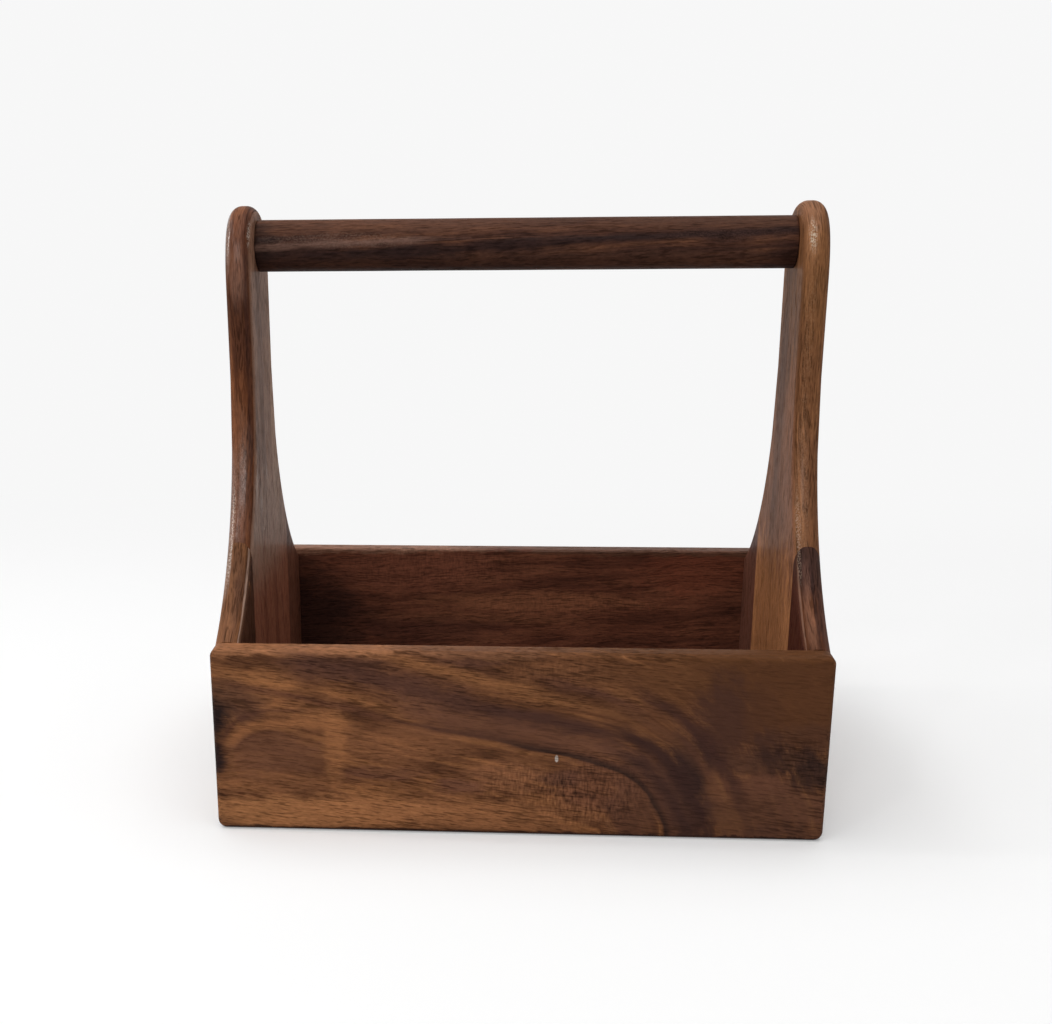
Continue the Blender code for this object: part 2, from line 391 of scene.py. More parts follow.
@dataclass(frozen=True)
class Knot:
    """A knot that the growth rings bend round, in millimetres."""

    along: float
    across: float
    reach_along: float
    reach_across: float
    push: float = 0.8

    def bend(self, spot: Spot) -> Signal:
        """Bend the rings away from the knot.

        Near the knot, a place takes the ring of a place closer to the knot's
        middle line, so that the rings spread out around it.

        Args:
            spot: The place, with its ring.

        Returns:
            The place's new ring.
        """
        away = spot.across - self.across
        distance = spot.bench.hypot(
            (spot.along - self.along) / self.reach_along, away / self.reach_across)
        return spot.level - away * spot.bench.smooth(distance, 0.0, 1.0, self.push, 0.0)


@dataclass(frozen=True)
class StraightRings:
    """Rings round a pith that runs along the board, a little aslant, in millimetres."""

    pith_across: float
    pith_through: float
    slant: float = 0.0

    def level(self, spot: Spot) -> Signal:
        """Return the distance from the pith, plus the slant along it."""
        away = spot.bench.hypot(
            spot.across - self.pith_across, spot.through - self.pith_through)
        return away + spot.along * self.slant

    def way(self, spot: Spot) -> Signal:
        """Return the way along the rings, which run straight."""
        return spot.along

    def fibre(self, spot: Spot) -> Signal:
        """Return the line of one fibre, which follows a ring."""
        return spot.level


@dataclass(frozen=True)
class BentRings:
    """Rings that run along the board and then turn down round a centre, in millimetres."""

    centre_along: float
    centre_across: float
    slope: float
    face_through: float
    thickness_slope: float = 0.35

    def level(self, spot: Spot) -> Signal:
        """Return the level of the bend.

        Left of the centre the level is the height above a sloping line. Right
        of it the level is the distance from the centre, so that lines of one
        level curve down.

        Args:
            spot: The place.

        Returns:
            The level, in millimetres.
        """
        beyond = spot.along - self.centre_along
        height = spot.across - self.centre_across + beyond * self.slope
        bend = spot.bench.hypot(beyond.at_least(0.0), height.at_least(0.0))
        depth = spot.through - self.face_through
        return bend + height.at_most(0.0) + depth * self.thickness_slope

    def way(self, spot: Spot) -> Signal:
        """Return the way along the rings, which grows to the right and then downwards."""
        return spot.along - spot.across

    def fibre(self, spot: Spot) -> Signal:
        """Return the line of one fibre, nearly straight where the rings are cut across."""
        return spot.across + spot.along * (self.slope / 2)


@dataclass(frozen=True)
class StaveRings(StraightRings):
    """Rings of a stave, in millimetres.

    They run upright on its flat faces. On its rounded edge they are long
    pointed arches, which follow the edge up and down.
    """

    pith_across: float = 60.0
    pith_through: float = 143.5
    slant: float = 0.03
    arch_along: float = 262.0
    arch_length: float = 13.0
    arch_width: float = 1.9
    edge_depth: float = 6.3
    edge_softness: float = 0.7

    def level(self, spot: Spot) -> Signal:
        """Return the distance from an upright pith, or from the arch's centre on the edge.

        The edge is where the depth from the middle of the stave's thickness is
        less than that of its flat faces.

        Args:
            spot: The place.

        Returns:
            The ring's level, in millimetres.
        """
        depth = spot.through - self.pith_through
        face = abs(spot.across - self.pith_across) + spot.along * self.slant
        arch = spot.bench.hypot(
            depth * self.arch_width, (spot.along - self.arch_along) / self.arch_length)
        edge = spot.bench.smooth(
            abs(depth), self.edge_depth, self.edge_depth - self.edge_softness)
        return face + (arch - face) * edge


@dataclass(frozen=True, kw_only=True)
class Mark:
    """A mark on the wood, with its colour and how strong it is."""

    colour: Colour = (0.0, 0.0, 0.0)
    strength: float = 1.0

    @classmethod
    def rows(cls, *table: tuple) -> tuple["Mark", ...]:
        """Return marks of one kind.

        Args:
            *table: For each mark the values of the kind's own fields, in their
                order, then its linear red, green and blue in thousandths and
                its strength in hundredths.

        Returns:
            The marks, in the order of the table.
        """
        return tuple(
            cls(*sizes, colour=tuple(part / 1000 for part in colour), strength=share / 100)
            for *sizes, colour, share in table)


@dataclass(frozen=True)
class Band(Mark):
    """A dark or light band that follows one growth ring, in millimetres.

    Its two sides fade over widths of their own, so that a dark line can be
    sharp on one side and smoky on the other.
    """

    level: float
    inner_width: float
    outer_width: float
    start: float
    finish: float
    fade: float

    def share(self, spot: Spot, speckle: Signal) -> Signal:
        """Find the band's strength at a place, with frayed edges and soft ends.

        Args:
            spot: The place, with its ring.
            speckle: The noise that frays the rim.

        Returns:
            The strength on the band's ring, and 0 away from it.
        """
        away = spot.level - self.level
        reach = (away / self.outer_width).at_least(away / -self.inner_width)
        share = spot.bench.smooth(reach + speckle, LINE_RIM, 0.0, 0.0, self.strength)
        opening = spot.bench.past(spot.along, self.start, self.fade)
        return share * opening * spot.bench.past(spot.along, self.finish, -self.fade)


@dataclass(frozen=True)
class Lid(Mark):
    """A band that bends round the end of a knot like an eyelid, in millimetres.

    It follows half an ellipse on the left of its centre and runs level on the right.
    """

    along: float
    across: float
    reach_along: float
    reach_across: float
    width: float
    finish: float
    fade: float = 30.0

    def share(self, spot: Spot, speckle: Signal) -> Signal:
        """Find the lid's strength at a place, with frayed edges and a soft end.

        Args:
            spot: The place, with its ring.
            speckle: The noise that frays the rim.

        Returns:
            The strength on the upper half of the ellipse, and 0 away from it.
        """
        beyond = (spot.along - self.along).at_most(0.0)
        rise = spot.across - self.across
        away = spot.bench.hypot(beyond / self.reach_along, rise / self.reach_across) - 1.0
        reach = abs(away) * (self.reach_across / self.width)
        share = spot.bench.smooth(reach + speckle, LINE_RIM, 0.0, 0.0, self.strength)
        closing = spot.bench.past(spot.along, self.finish, -self.fade)
        return share * closing * spot.bench.smooth(rise, 0.0, self.reach_across * LID_RISE)


@dataclass(frozen=True)
class Area(Mark):
    """A soft-rimmed ellipse, or ellipsoid, in a piece of wood, in millimetres."""

    along: float
    across: float
    reach_along: float
    reach_across: float
    through: Optional[float] = None
    reach_through: float = 1.0
    softness: float = 0.9

    def share(self, spot: Spot, speckle: Signal) -> Signal:
        """Find the area's strength at a place.

        Args:
            spot: The place.
            speckle: The noise that frays the rim.

        Returns:
            The strength inside, and 0 outside.
        """
        distance = spot.bench.hypot(
            (spot.along - self.along) / self.reach_along,
            (spot.across - self.across) / self.reach_across)
        if self.through is not None:
            distance = spot.bench.hypot(
                distance, (spot.through - self.through) / self.reach_through)
        half = self.softness / 2
        return spot.bench.smooth(
            distance + speckle, 1.0 + half, 1.0 - half, 0.0, self.strength)


@dataclass(frozen=True)
class Wood:
    """The finish of one piece of wood: open-pored, with a thin satin lacquer.

    Its patches are darker, redder or paler, and some of them are painted
    light, shade, highlights and sheen. Its lines follow the rings. It has
    ripples of painted light where short waves across the grain catch the
    light, calms where the grain shows less, shines where the lacquer lies
    thicker, and painted glints: pale specks mixed into the colour where a
    highlight catches an edge. Its slot is the record's.
    """

    name: str
    slot: str
    grain: Grain
    tones: Tones
    rings: Union[StraightRings, BentRings]
    knots: tuple[Knot, ...] = ()
    patches: tuple[Area, ...] = ()
    lines: tuple[Union[Band, Lid], ...] = ()
    ripples: tuple[Area, ...] = ()
    calms: tuple[Area, ...] = ()
    shines: tuple[Area, ...] = ()
    painted_glints: tuple[Area, ...] = ()
    ring_width: float = 7.0
    broad_length: float = 160.0
    fine_length: float = 45.0
    wander: float = 9.0
    seed: float = 0.0
    contrast: float = 1.0
    grain_depth: float = 1.0
    pore_depth: float = 0.36
    lacquer: float = 0.08
    lacquer_roughness: float = 0.22
    roughness: float = 0.55

    def build(self) -> bpy.types.Material:
        """Put the material together.

        Returns:
            A Principled material that works in Object coordinates.
        """
        bench = Bench(bpy.data.materials.new(self.name))
        spot = Spot(bench, *(term * MILLIMETRES for term in bench.place(self.grain.value)))
        moved = (self.seed, 0.0, 0.0)
        wander = WANDER.noise(bench, spot.place, moved) - 0.5
        spot.level = self.rings.level(spot) + wander * self.wander
        for knot in self.knots:
            spot.level = knot.bend(spot)
        way = self.rings.way(spot)
        spot.cloud = CLOUD.noise(bench, (way, spot.level, spot.through), moved) - 0.5
        colour = self._streaks(spot, way)
        for marks, fray in ((self.patches, PATCH_FRAY), (self.lines, LINE_FRAY)):
            speckle = spot.cloud * fray
            for mark in marks:
                colour = bench.mix(mark.share(spot, speckle), colour, mark.colour)
        fibres, flecks, pores = self._grain(spot)
        light = 1.0 + (fibres * FIBRE_LIGHT + flecks * FLECK_LIGHT) * self.grain_depth
        for ripple in self.ripples:
            waves = WAVES.noise(bench, spot.place) - 0.5
            light = light + waves * ripple.share(spot, spot.cloud)
        lacquer = self.lacquer * (1.0 - pores * PORE_DULLNESS + flecks * FLECK_GLOSS)
        for shine in self.shines:
            lift = shine.share(spot, spot.cloud * SHINE_FRAY)
            lacquer = lacquer + lift * (1.0 + flecks * SHINE_FLECK_GLOSS)
        colour = bench.shade(
            colour, (light * (1.0 - pores * self.pore_depth)).at_least(DARKEST))
        # Painted glints: pale specks mixed into the colour, standing in for highlights on the
        # edges
        for glint in self.painted_glints:
            specks = bench.smooth(GLINT_SPECKS.noise(bench, spot.place, moved), *GLINT_SPECK_RANGE)
            share = glint.share(spot, spot.cloud * LINE_FRAY) * specks
            colour = bench.mix(share, colour, glint.colour)
        height = fibres * FIBRE_HEIGHT + flecks * FLECK_HEIGHT - pores * PORE_SINK
        bump = bench.node("Bump", inputs={
            "Strength": BUMP_STRENGTH, "Distance": BUMP_DISTANCE, "Height": height})
        return bench.finish(bench.node("BsdfPrincipled", inputs={
            "Base Color": colour,
            "Roughness": self.roughness + fibres * FIBRE_ROUGHNESS + pores * PORE_ROUGHNESS,
            "Specular IOR Level": SPECULAR_LEVEL,
            "Coat Weight": lacquer.at_least(0.0).at_most(1.0),
            "Coat Roughness": self.lacquer_roughness,
            "Normal": bump}))

    def _streaks(self, spot: Spot, way: Signal) -> Signal:
        """Colour the rings: broad ones, finer ones inside them and a slow drift of tone.

        Args:
            spot: The place, with its ring.
            way: The way along the rings, in millimetres.

        Returns:
            A colour between the three tones.
        """
        ring = (spot.level, way, 0.0)
        broad = Texture(self.ring_width, self.broad_length)
        fine = Texture(
            self.ring_width * FINE_RING_SHARE, self.fine_length, detail=4.0, roughness=0.6)
        noises = (
            broad.noise(spot.bench, ring, (0.0, self.seed, 0.0)),
            fine.noise(spot.bench, ring, (0.0, 0.0, self.seed)),
            DRIFT.noise(spot.bench, spot.place, (0.0, self.seed, 0.0)))
        tone = sum(noise * share for noise, share in zip(noises, RING_SHARES))
        tone = spot.bench.past(tone, 0.5, 2 * TONE_SPREAD / self.contrast)
        stops = ((0.0, self.tones.deep), (0.5, self.tones.middle), (1.0, self.tones.light))
        return spot.bench.node("ValToRGB", {"stops": stops}, {0: tone})

    def _grain(self, spot: Spot) -> tuple[Signal, Signal, Signal]:
        """Return the fine grain, which is weaker in the calms.

        Args:
            spot: The place, with its ring.

        Returns:
            The fibres and the flecks between them, round 0, and the open pores:
            short dark dashes along the fibres, thicker in some places.
        """
        bench = spot.bench
        line = (spot.along, self.rings.fibre(spot), spot.through)
        deeper = (0.0, 0.0, self.seed)
        fibres = FIBRES.noise(bench, line) - 0.5
        flecks = FLECKS.noise(bench, line, (self.seed, 0.0, 0.0)) - 0.5
        dashes = DASHES.noise(bench, line, deeper)
        crowd = CROWD.noise(bench, spot.place, deeper)
        grain = (fibres, flecks, bench.smooth(dashes + crowd * CROWDING, *PORE_RANGE))
        for calm in self.calms:
            left = 1.0 - calm.share(spot, spot.cloud)
            grain = tuple(part * left for part in grain)
        return grain


# Meshes


def add_object(name: str, data: bpy.types.ID) -> bpy.types.Object:
    """Put a new object at the scene's origin.

    Args:
        name: The object's name.
        data: Its mesh, light or camera.

    Returns:
        The object.
    """
    made = bpy.data.objects.new(name, data)
    bpy.context.scene.collection.objects.link(made)
    return made


@dataclass
class Skin:
    """Grids of points that are sewn along their shared edges into one closed surface."""

    name: str
    grids: list[Grid] = field(default_factory=list)

    def add(self, x: Grid, y: Grid, z: Grid) -> None:
        """Add one grid.

        Args:
            x: Its places on X, for rows and columns, or anything that spreads to them.
            y: Its places on Y.
            z: Its places on Z.
        """
        self.grids.append(np.stack(np.broadcast_arrays(x, y, z), axis=-1).astype(float))

    def lay(self) -> bpy.types.Object:
        """Lay the grids down as one open mesh.

        Returns:
            The piece, which stands at the origin with its place in its mesh.
        """
        quads = []
        first = 0
        for grid in self.grids:
            rows, columns = grid.shape[:2]
            index = np.arange(rows * columns).reshape(rows, columns) + first
            corners = (index[:-1, :-1], index[1:, :-1], index[1:, 1:], index[:-1, 1:])
            quads.append(np.stack(corners, axis=-1).reshape(-1, 4))
            first += rows * columns
        points = np.concatenate([grid.reshape(-1, 3) for grid in self.grids])
        mesh = bpy.data.meshes.new(self.name)
        mesh.from_pydata(points.tolist(), [], np.concatenate(quads).tolist())
        mesh.shade_smooth()
        return add_object(self.name, mesh)

    def sew(self) -> bpy.types.Object:
        """Lay the grids down and close their seams, with the faces outwards.

        Returns:
            The piece, as one closed mesh.
        """
        piece = self.lay()
        tidy(piece.data)
        return piece


def tidy(mesh: bpy.types.Mesh, weld: float = WELD) -> None:
    """Merge doubled points, turn the faces outwards and shade the rounds smooth.

    Args:
        mesh: The mesh, which has to be closed once its seams are merged.
        weld: How close two points are merged. At zero, none are.
    """
    shell = bmesh.new()
    shell.from_mesh(mesh)
    if weld:
        bmesh.ops.remove_doubles(shell, verts=shell.verts, dist=weld)
    bmesh.ops.recalc_face_normals(shell, faces=shell.faces)
    loose = sum(not edge.is_manifold for edge in shell.edges)
    if loose:
        raise ValueError(f"{mesh.name} has {loose} open edges")
    shell.to_mesh(mesh)
    shell.free()
    mesh.shade_smooth()
    mesh.set_sharp_from_angle(angle=SHARP_ANGLE)


def block_cutter(low: Vector, high: Vector) -> bpy.types.Object:
    """Make a cutter that fills the space between two corners.

    Args:
        low: The lowest corner.
        high: The highest corner.

    Returns:
        The cutter.
    """
    shell = bmesh.new()
    place = Matrix.Translation((low + high) / 2) @ Matrix.Diagonal((*(high - low), 1.0))
    bmesh.ops.create_cube(shell, size=1.0, matrix=place)
    return cutter_from(shell)


def rod_cutter(low: Vector, high: Vector, axis: str, sides: int = 32) -> bpy.types.Object:
    """Make a round cutter that fills the space between two corners.

    Args:
        low: The lowest corner of its box.
        high: The highest corner of its box.
        axis: The axis that it runs along, X or Y.
        sides: How many flat sides it is made of.

    Returns:
        The cutter.
    """
    turn = Matrix.Rotation(QUARTER_TURN, 4, "Y" if axis == "X" else "X")
    size = high - low
    length = size["XY".index(axis)]
    radius = (sum(size) - length) / 4
    shell = bmesh.new()
    bmesh.ops.create_cone(
        shell, cap_ends=True, segments=sides, radius1=radius, radius2=radius, depth=length,
        matrix=Matrix.Translation((low + high) / 2) @ turn)
    return cutter_from(shell)


def cutter_from(shell: bmesh.types.BMesh) -> bpy.types.Object:
    """Turn a shell into a cutter, which is no part of the caddy.

    Args:
        shell: The closed shell, which is freed here.

    Returns:
        The cutter.
    """
    mesh = bpy.data.meshes.new("cutter")
    shell.to_mesh(mesh)
    shell.free()
    return add_object("cutter", mesh)


def node_room(node: str) -> tuple[Vector, Vector]:
    """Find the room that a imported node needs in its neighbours.

    Args:
        node: The node's name.

    Returns:
        The room's lowest and highest corners.
    """
    low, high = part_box(node)
    gap = Vector((FIT_GAP,) * 3)
    return low - gap, high + gap


def carve(piece: bpy.types.Object, cutters: list[bpy.types.Object]) -> None:
    """Cut each cutter out of a piece for good, and remove the cutters.

    Args:
        piece: The piece, whose mesh is replaced.
        cutters: Closed shapes in the same frame.
    """
    for cutter in cutters:
        boolean = piece.modifiers.new("carving", "BOOLEAN")
        boolean.object = cutter
        boolean.operation = "DIFFERENCE"
        boolean.solver = "EXACT"
    depsgraph = bpy.context.evaluated_depsgraph_get()
    carved = bpy.data.meshes.new_from_object(piece.evaluated_get(depsgraph))
    piece.modifiers.clear()
    blank = piece.data
    carved.name = blank.name
    piece.data = carved
    bpy.data.meshes.remove(blank)
    for cutter in cutters:
        bpy.data.meshes.remove(cutter.data)
    tidy(carved, weld=0.0)


def dress(piece: bpy.types.Object, wood: Wood, node: str) -> None:
    """Finish a piece, let it ride on the caddy and hide the node that it stands for.

    Args:
        piece: The new piece.
        wood: Its finish.
        node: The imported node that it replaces.
    """
    piece.data.materials.clear()
    piece.data.materials.append(wood.build())
    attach(piece, ROOT)
    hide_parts(node)
    LOG.info("%s: %d faces, stands for %s", piece.name, len(piece.data.polygons), node)


def pins_in(sides: tuple[Side, ...], face: Face) -> list[str]:
    """Return the names of the dowel pins on one face, on the given sides."""
    return [f"{side.word}_{face.word}_pin_{level}"
            for side in sides for level in ("low", "middle", "high")]


# Sub-assemblies


@dataclass
class WallPanel:
    """The front or the back board, which laps over the edges of both ends."""

    face: Face
    wood: Wood
    corner_round: float = 0.0045
    outer_round: float = 0.003
    inner_round: float = 0.0015
    inner_side_round: float = 0.0002
    corner_steps: int = 10
    straight_steps: int = 40
    round_steps: int = 10
    holding_inset: float = 0.0004
    face_shares: tuple[float, ...] = (0.0, 0.15, 0.4, 0.7, 1.0)

    def __post_init__(self) -> None:
        """Read the board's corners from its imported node."""
        self.node = f"{self.face.word}_panel"
        self.low, self.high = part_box(self.node)

    def _outline(self, inset: Grid) -> tuple[Grid, Grid]:
        """Return the board's outline, drawn in by an inset.

        A rounded rectangle: each corner is an arc whose radius shrinks with the
        inset until it is a point, and the straight runs join the arcs.

        Args:
            inset: How far each row of points is drawn in, with a column or
                with a value for every point of the outline.

        Returns:
            Places on X and Z, with a row for each inset, closed by a repeat
            of the first point.
        """
        half, middle = (self.high - self.low) / 2, (self.high + self.low) / 2
        quarter = np.linspace(0.0, QUARTER_TURN, self.corner_steps)
        run = np.linspace(0.0, 1.0, self.straight_steps)[1:-1]
        angles, x_signs, z_signs = [], [], []
        corners = [(1, 1), (-1, 1), (-1, -1), (1, -1), (1, 1)]
        for number, (here, following) in enumerate(zip(corners, corners[1:])):
            angles += [quarter + number * QUARTER_TURN,
                       np.full(run.shape, (number + 1) * QUARTER_TURN)]
            for signs, start, end in zip((x_signs, z_signs), here, following):
                signs += [np.full(quarter.shape, start), start + (end - start) * run]
        angle, x_sign, z_sign = (
            np.concatenate([*parts, parts[0][:1]]) for parts in (angles, x_signs, z_signs))
        radius = np.maximum(self.corner_round - inset, 0.0)
        reach = np.maximum(inset, self.corner_round)
        x = x_sign * (half.x - reach) + radius * np.cos(angle)
        z = z_sign * (half.z - reach) + radius * np.sin(angle)
        return x + middle.x, z + middle.z

    def _top_share(self) -> Grid:
        """Mark the top of the outline, eased round its corners.

        Returns:
            For each point of the outline, 1 along the top and 0 elsewhere.
        """
        quarter = np.linspace(0.0, 1.0, self.corner_steps)
        ease = quarter * quarter * (3 - 2 * quarter)
        run = self.straight_steps - 2
        bottom = np.zeros(2 * self.corner_steps + 3 * run)
        return np.concatenate([ease, np.ones(run), ease[::-1], bottom, ease[:1]])

    def surface(self) -> Skin:
        """Return the board as one profile carried round its outline.

        The profile starts on the outer face's middle line, goes out to the
        rounded arris, over the edge, round the inner arris and back in to the
        inner face's middle line.

        Returns:
            The board's skin.
        """
        thickness = self.high.y - self.low.y
        turn = np.linspace(0.0, QUARTER_TURN, self.round_steps)[:, None]
        top_rise = self.inner_round - self.inner_side_round
        inner_round = self.inner_side_round + top_rise * self._top_share()
        level = 0 * inner_round
        rim = max(self.corner_round, self.outer_round + 2 * self.holding_inset)
        middle = (self.high.z - self.low.z) / 2
        flat = rim + (middle - rim) * np.array(self.face_shares)[:, None]
        insets = [
            flat[::-1] + level,
            self.outer_round + self.holding_inset + level[None],
            self.outer_round * (1 - np.sin(turn)) + level,
            inner_round * (1 - np.cos(turn)),
            inner_round[None] + self.holding_inset,
            flat + level]
        depths = [
            0 * insets[0],
            0 * insets[1],
            self.outer_round * (1 - np.cos(turn)) + level,
            thickness - inner_round * (1 - np.sin(turn)),
            0 * insets[4] + thickness,
            0 * insets[5] + thickness]
        x, z = self._outline(np.concatenate(insets))
        outer = self.low.y if self.face is Face.FRONT else self.high.y
        skin = Skin(f"{self.face.word}_wall_board")
        skin.add(x, outer - self.face.value * np.concatenate(depths), z)
        return skin

    def build(self) -> None:
        """Make the board, with the floor's groove and the pin holes in its inner face."""
        board = self.surface().sew()
        pins = [rod_cutter(*node_room(pin), "Y") for pin in pins_in(tuple(Side), self.face)]
        carve(board, [block_cutter(*node_room("floor_panel")), *pins])
        dress(board, self.wood, self.node)


@dataclass
class EndBoard:
    """One shaped end, glued up from three upright staves and rounded along its edge."""

    side: Side
    woods: dict[str, Wood]
    neck_width: float = 0.060
    neck_start: float = 0.215
    crown_rise: float = 0.038
    crown_fullness_share: float = 0.66
    edge_round: float = 0.0055
    round_steps: int = 16
    sweep_steps: int = 72
    neck_steps: int = 20
    crown_steps: int = 56
    mortise_sides: int = 48
    face_shares: tuple[float, ...] = (0.0, 0.006, 0.1, 0.3, 0.5, 0.7, 0.9, 0.994, 1.0)

    def __post_init__(self) -> None:
        """Read the end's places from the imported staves."""
        low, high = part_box(self._node("middle"))
        front_low, front_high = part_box(self._node("front"))
        self.centre_x = (low.x + high.x) / 2
        self.thickness = high.x - low.x
        self.height = high.z
        self.edge_y = -front_low.y
        self.seam_y = (high.y - front_high.y) / 2
        self.neck = self.neck_width / 2
        self.shoulder = self.height - self.crown_rise
        reach = self.edge_y - self.neck
        climb = self.neck_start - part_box("front_panel")[1].z
        self.sweep_radius = (reach ** 2 + climb ** 2) / (2 * reach)
        self.sweep_centre = self.neck + self.sweep_radius

    def _node(self, place: str) -> str:
        """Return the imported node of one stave."""
        return f"{self.side.word}_{place}_stave"

    def _faces_x(self) -> Grid:
        """Return the places on X of the end's two flat faces."""
        return self.centre_x + np.array([-1.0, 1.0]) * self.thickness / 2

    def _section(self) -> tuple[Grid, Grid]:
        """Return the rounded edge's section.

        A quarter circle up from one face, a narrow flat along the crest and a
        quarter circle down to the other face.

        Returns:
            How far each point lies inside the outline, and its place across
            the end's thickness.
        """
        turn = np.linspace(QUARTER_TURN, 0.0, self.round_steps)
        inset = self.edge_round * (1 - np.cos(turn))
        across = self.thickness / 2 - self.edge_round * (1 - np.sin(turn))
        return np.concatenate([inset, inset[::-1]]), np.concatenate([-across, across[::-1]])

    def _sweep(self, inset: Grid, start_y: float, end_y: float) -> tuple[Grid, Grid]:
        """Return the sweep between two places on Y, for each inset.

        An arc round a centre outside the end: an inset lengthens its radius, so
        the angle at which it crosses a place on Y is an arc cosine.

        Args:
            inset: How far each column of points lies inside the outline.
            start_y: Where the sweep starts on Y.
            end_y: Where it ends.

        Returns:
            Places on Y and Z, with a row for each step and a column for each inset.
        """
        radius = self.sweep_radius + inset
        start, end = (
            np.arccos(np.clip((self.sweep_centre - place) / radius, -1.0, 1.0))
            for place in (start_y, end_y))
        share = np.linspace(0.0, 1.0, self.sweep_steps)[:, None]
        angle = start + (end - start) * share
        return self.sweep_centre - radius * np.cos(angle), self.neck_start - radius * np.sin(angle)

    def _crown(self, inset: Grid) -> tuple[Grid, Grid]:
        """Return half of the crown, from its top down to the neck, for each inset.

        A cubic curve, moved inwards along its own normal.

        Args:
            inset: How far each column of points lies inside the outline.

        Returns:
            Places on Y and Z, with a row for each step and a column for each inset.
        """
        full = self.crown_fullness_share
        knots = np.array([
            (self.neck, self.shoulder), (self.neck, self.shoulder + self.crown_rise * full),
            (self.neck * full, self.height), (0.0, self.height)])
        t = np.linspace(1.0, 0.0, self.crown_steps)[:, None]
        weights = ((1 - t) ** 3, 3 * t * (1 - t) ** 2, 3 * t ** 2 * (1 - t), t ** 3)
        point = sum(weight * knot for weight, knot in zip(weights, knots))
        slopes = ((1 - t) ** 2, 2 * t * (1 - t), t ** 2)
        tangent = sum(slope * leg for slope, leg in zip(slopes, np.diff(knots, axis=0)))
        tangent /= np.linalg.norm(tangent, axis=1, keepdims=True)
        return point[:, :1] - tangent[:, 1:] * inset, point[:, 1:] + tangent[:, :1] * inset

    def _half_edge(self, inset: Grid, end_y: float) -> tuple[Grid, Grid]:
        """Join half of the crown, the straight neck and the sweep down to a seam.

        Args:
            inset: How far each column of points lies inside the outline.
            end_y: The seam's place on Y.

        Returns:
            Places on Y and Z, with a row for each step and a column for each inset.
        """
        crown_y, crown_z = self._crown(inset)
        neck_z = np.linspace(self.shoulder, self.neck_start, self.neck_steps)[1:-1, None]
        sweep_y, sweep_z = self._sweep(inset, self.neck, end_y)
        straight = self.sweep_centre - (self.sweep_radius + inset)
        sweep_y[0] = straight
        sweep_z[0] = self.neck_start
        y = np.concatenate([crown_y, neck_z * 0 + straight, sweep_y])
        return y, np.concatenate([crown_z, neck_z + 0 * inset, sweep_z])

    def _side_cap(self, skin: Skin, y: float, foot_z: Grid, across: Grid, edge_z: Grid) -> None:
        """Close a stave's side.

        Args:
            skin: The stave's skin.
            y: The side's place on Y.
            foot_z: The places on Z of its straight part, from the ground up.
            across: The section's places across the thickness.
            edge_z: The section's places on Z, where it crosses the side.
        """
        half = self.round_steps
        heights = np.concatenate([foot_z, edge_z[half:][::-1][1:]])
        widths = np.concatenate(
            [np.full(foot_z.shape, self.thickness / 2), across[half:][::-1][1:]])
        skin.add(self.centre_x + widths[:, None] * np.array([-1.0, 1.0]), y, heights[:, None])

    def middle_stave(self) -> Skin:
        """Return the middle stave with its neck and crown.

        The section is carried along the outline, over the crown and down the
        other side. Level rows fill the faces between the two halves.

        Returns:
            The stave's skin.
        """
        inset, across = self._section()
        limit = self.seam_y - GLUE_GAP
        y, z = self._half_edge(inset, limit)
        skin = Skin(f"{self.side.word}_middle_board")
        skin.add(self.centre_x + across,
                 np.concatenate([-y[::-1], y[1:]]), np.concatenate([z[::-1], z[1:]]))
        shares = np.array(self.face_shares)
        foot_z = z[-1, 0] * shares
        face_y = np.concatenate([y[:, 0], np.full(foot_z[:-1].shape, limit)])
        face_z = np.concatenate([z[:, 0], foot_z[:-1][::-1]])
        lateral = shares * 2 - 1
        for sign, x in zip((-1, 1), self._faces_x()):
            skin.add(x, face_y[:, None] * lateral, face_z[:, None])
            self._side_cap(skin, sign * limit, foot_z, across, z[-1])
        skin.add(self._faces_x()[:, None], limit * lateral, 0.0)
        return skin

    def outer_stave(self, face: Face) -> Skin:
        """Return the front or the back stave, whose top is the foot of the sweep.

        The section is carried along the sweep, and upright columns fill the faces.

        Args:
            face: The front or the back.

        Returns:
            The stave's skin.
        """
        inset, across = self._section()
        y, z = self._sweep(inset, self.seam_y + GLUE_GAP, self.edge_y)
        y = y * face.value
        skin = Skin(f"{self.side.word}_{face.word}_board")
        skin.add(self.centre_x + across, y, z)
        shares = np.array(self.face_shares)
        for x in self._faces_x():
            skin.add(x, y[:, :1], z[:, :1] * shares)
        skin.add(self._faces_x(), y[:, :1], 0.0)
        for row in (0, -1):
            self._side_cap(skin, y[row, 0], z[row, 0] * shares, across, z[row])
        return skin

    def _mortise(self) -> bpy.types.Object:
        """Make the cutter for the handle's tenon.

        Returns:
            The cutter, a little wider than the tenon.
        """
        low, high = node_room("handle")
        axis_z = (low.z + high.z) / 2
        radius = HandleRail.tenon_diameter / 2 + FIT_GAP
        low.y, high.y = -radius, radius
        low.z, high.z = axis_z - radius, axis_z + radius
        return rod_cutter(low, high, "X", self.mortise_sides)

    def build(self) -> None:
        """Make the three staves, with the floor's groove, the pin holes and the mortise."""
        for place in ("front", "middle", "back"):
            cutters = [block_cutter(*node_room("floor_panel"))]
            if place == "middle":
                skin = self.middle_stave()
                cutters.append(self._mortise())
            else:
                face = Face[place.upper()]
                skin = self.outer_stave(face)
                cutters += [
                    rod_cutter(*node_room(pin), "Y") for pin in pins_in((self.side,), face)]
            board = skin.sew()
            carve(board, cutters)
            dress(board, self.woods[place], self._node(place))


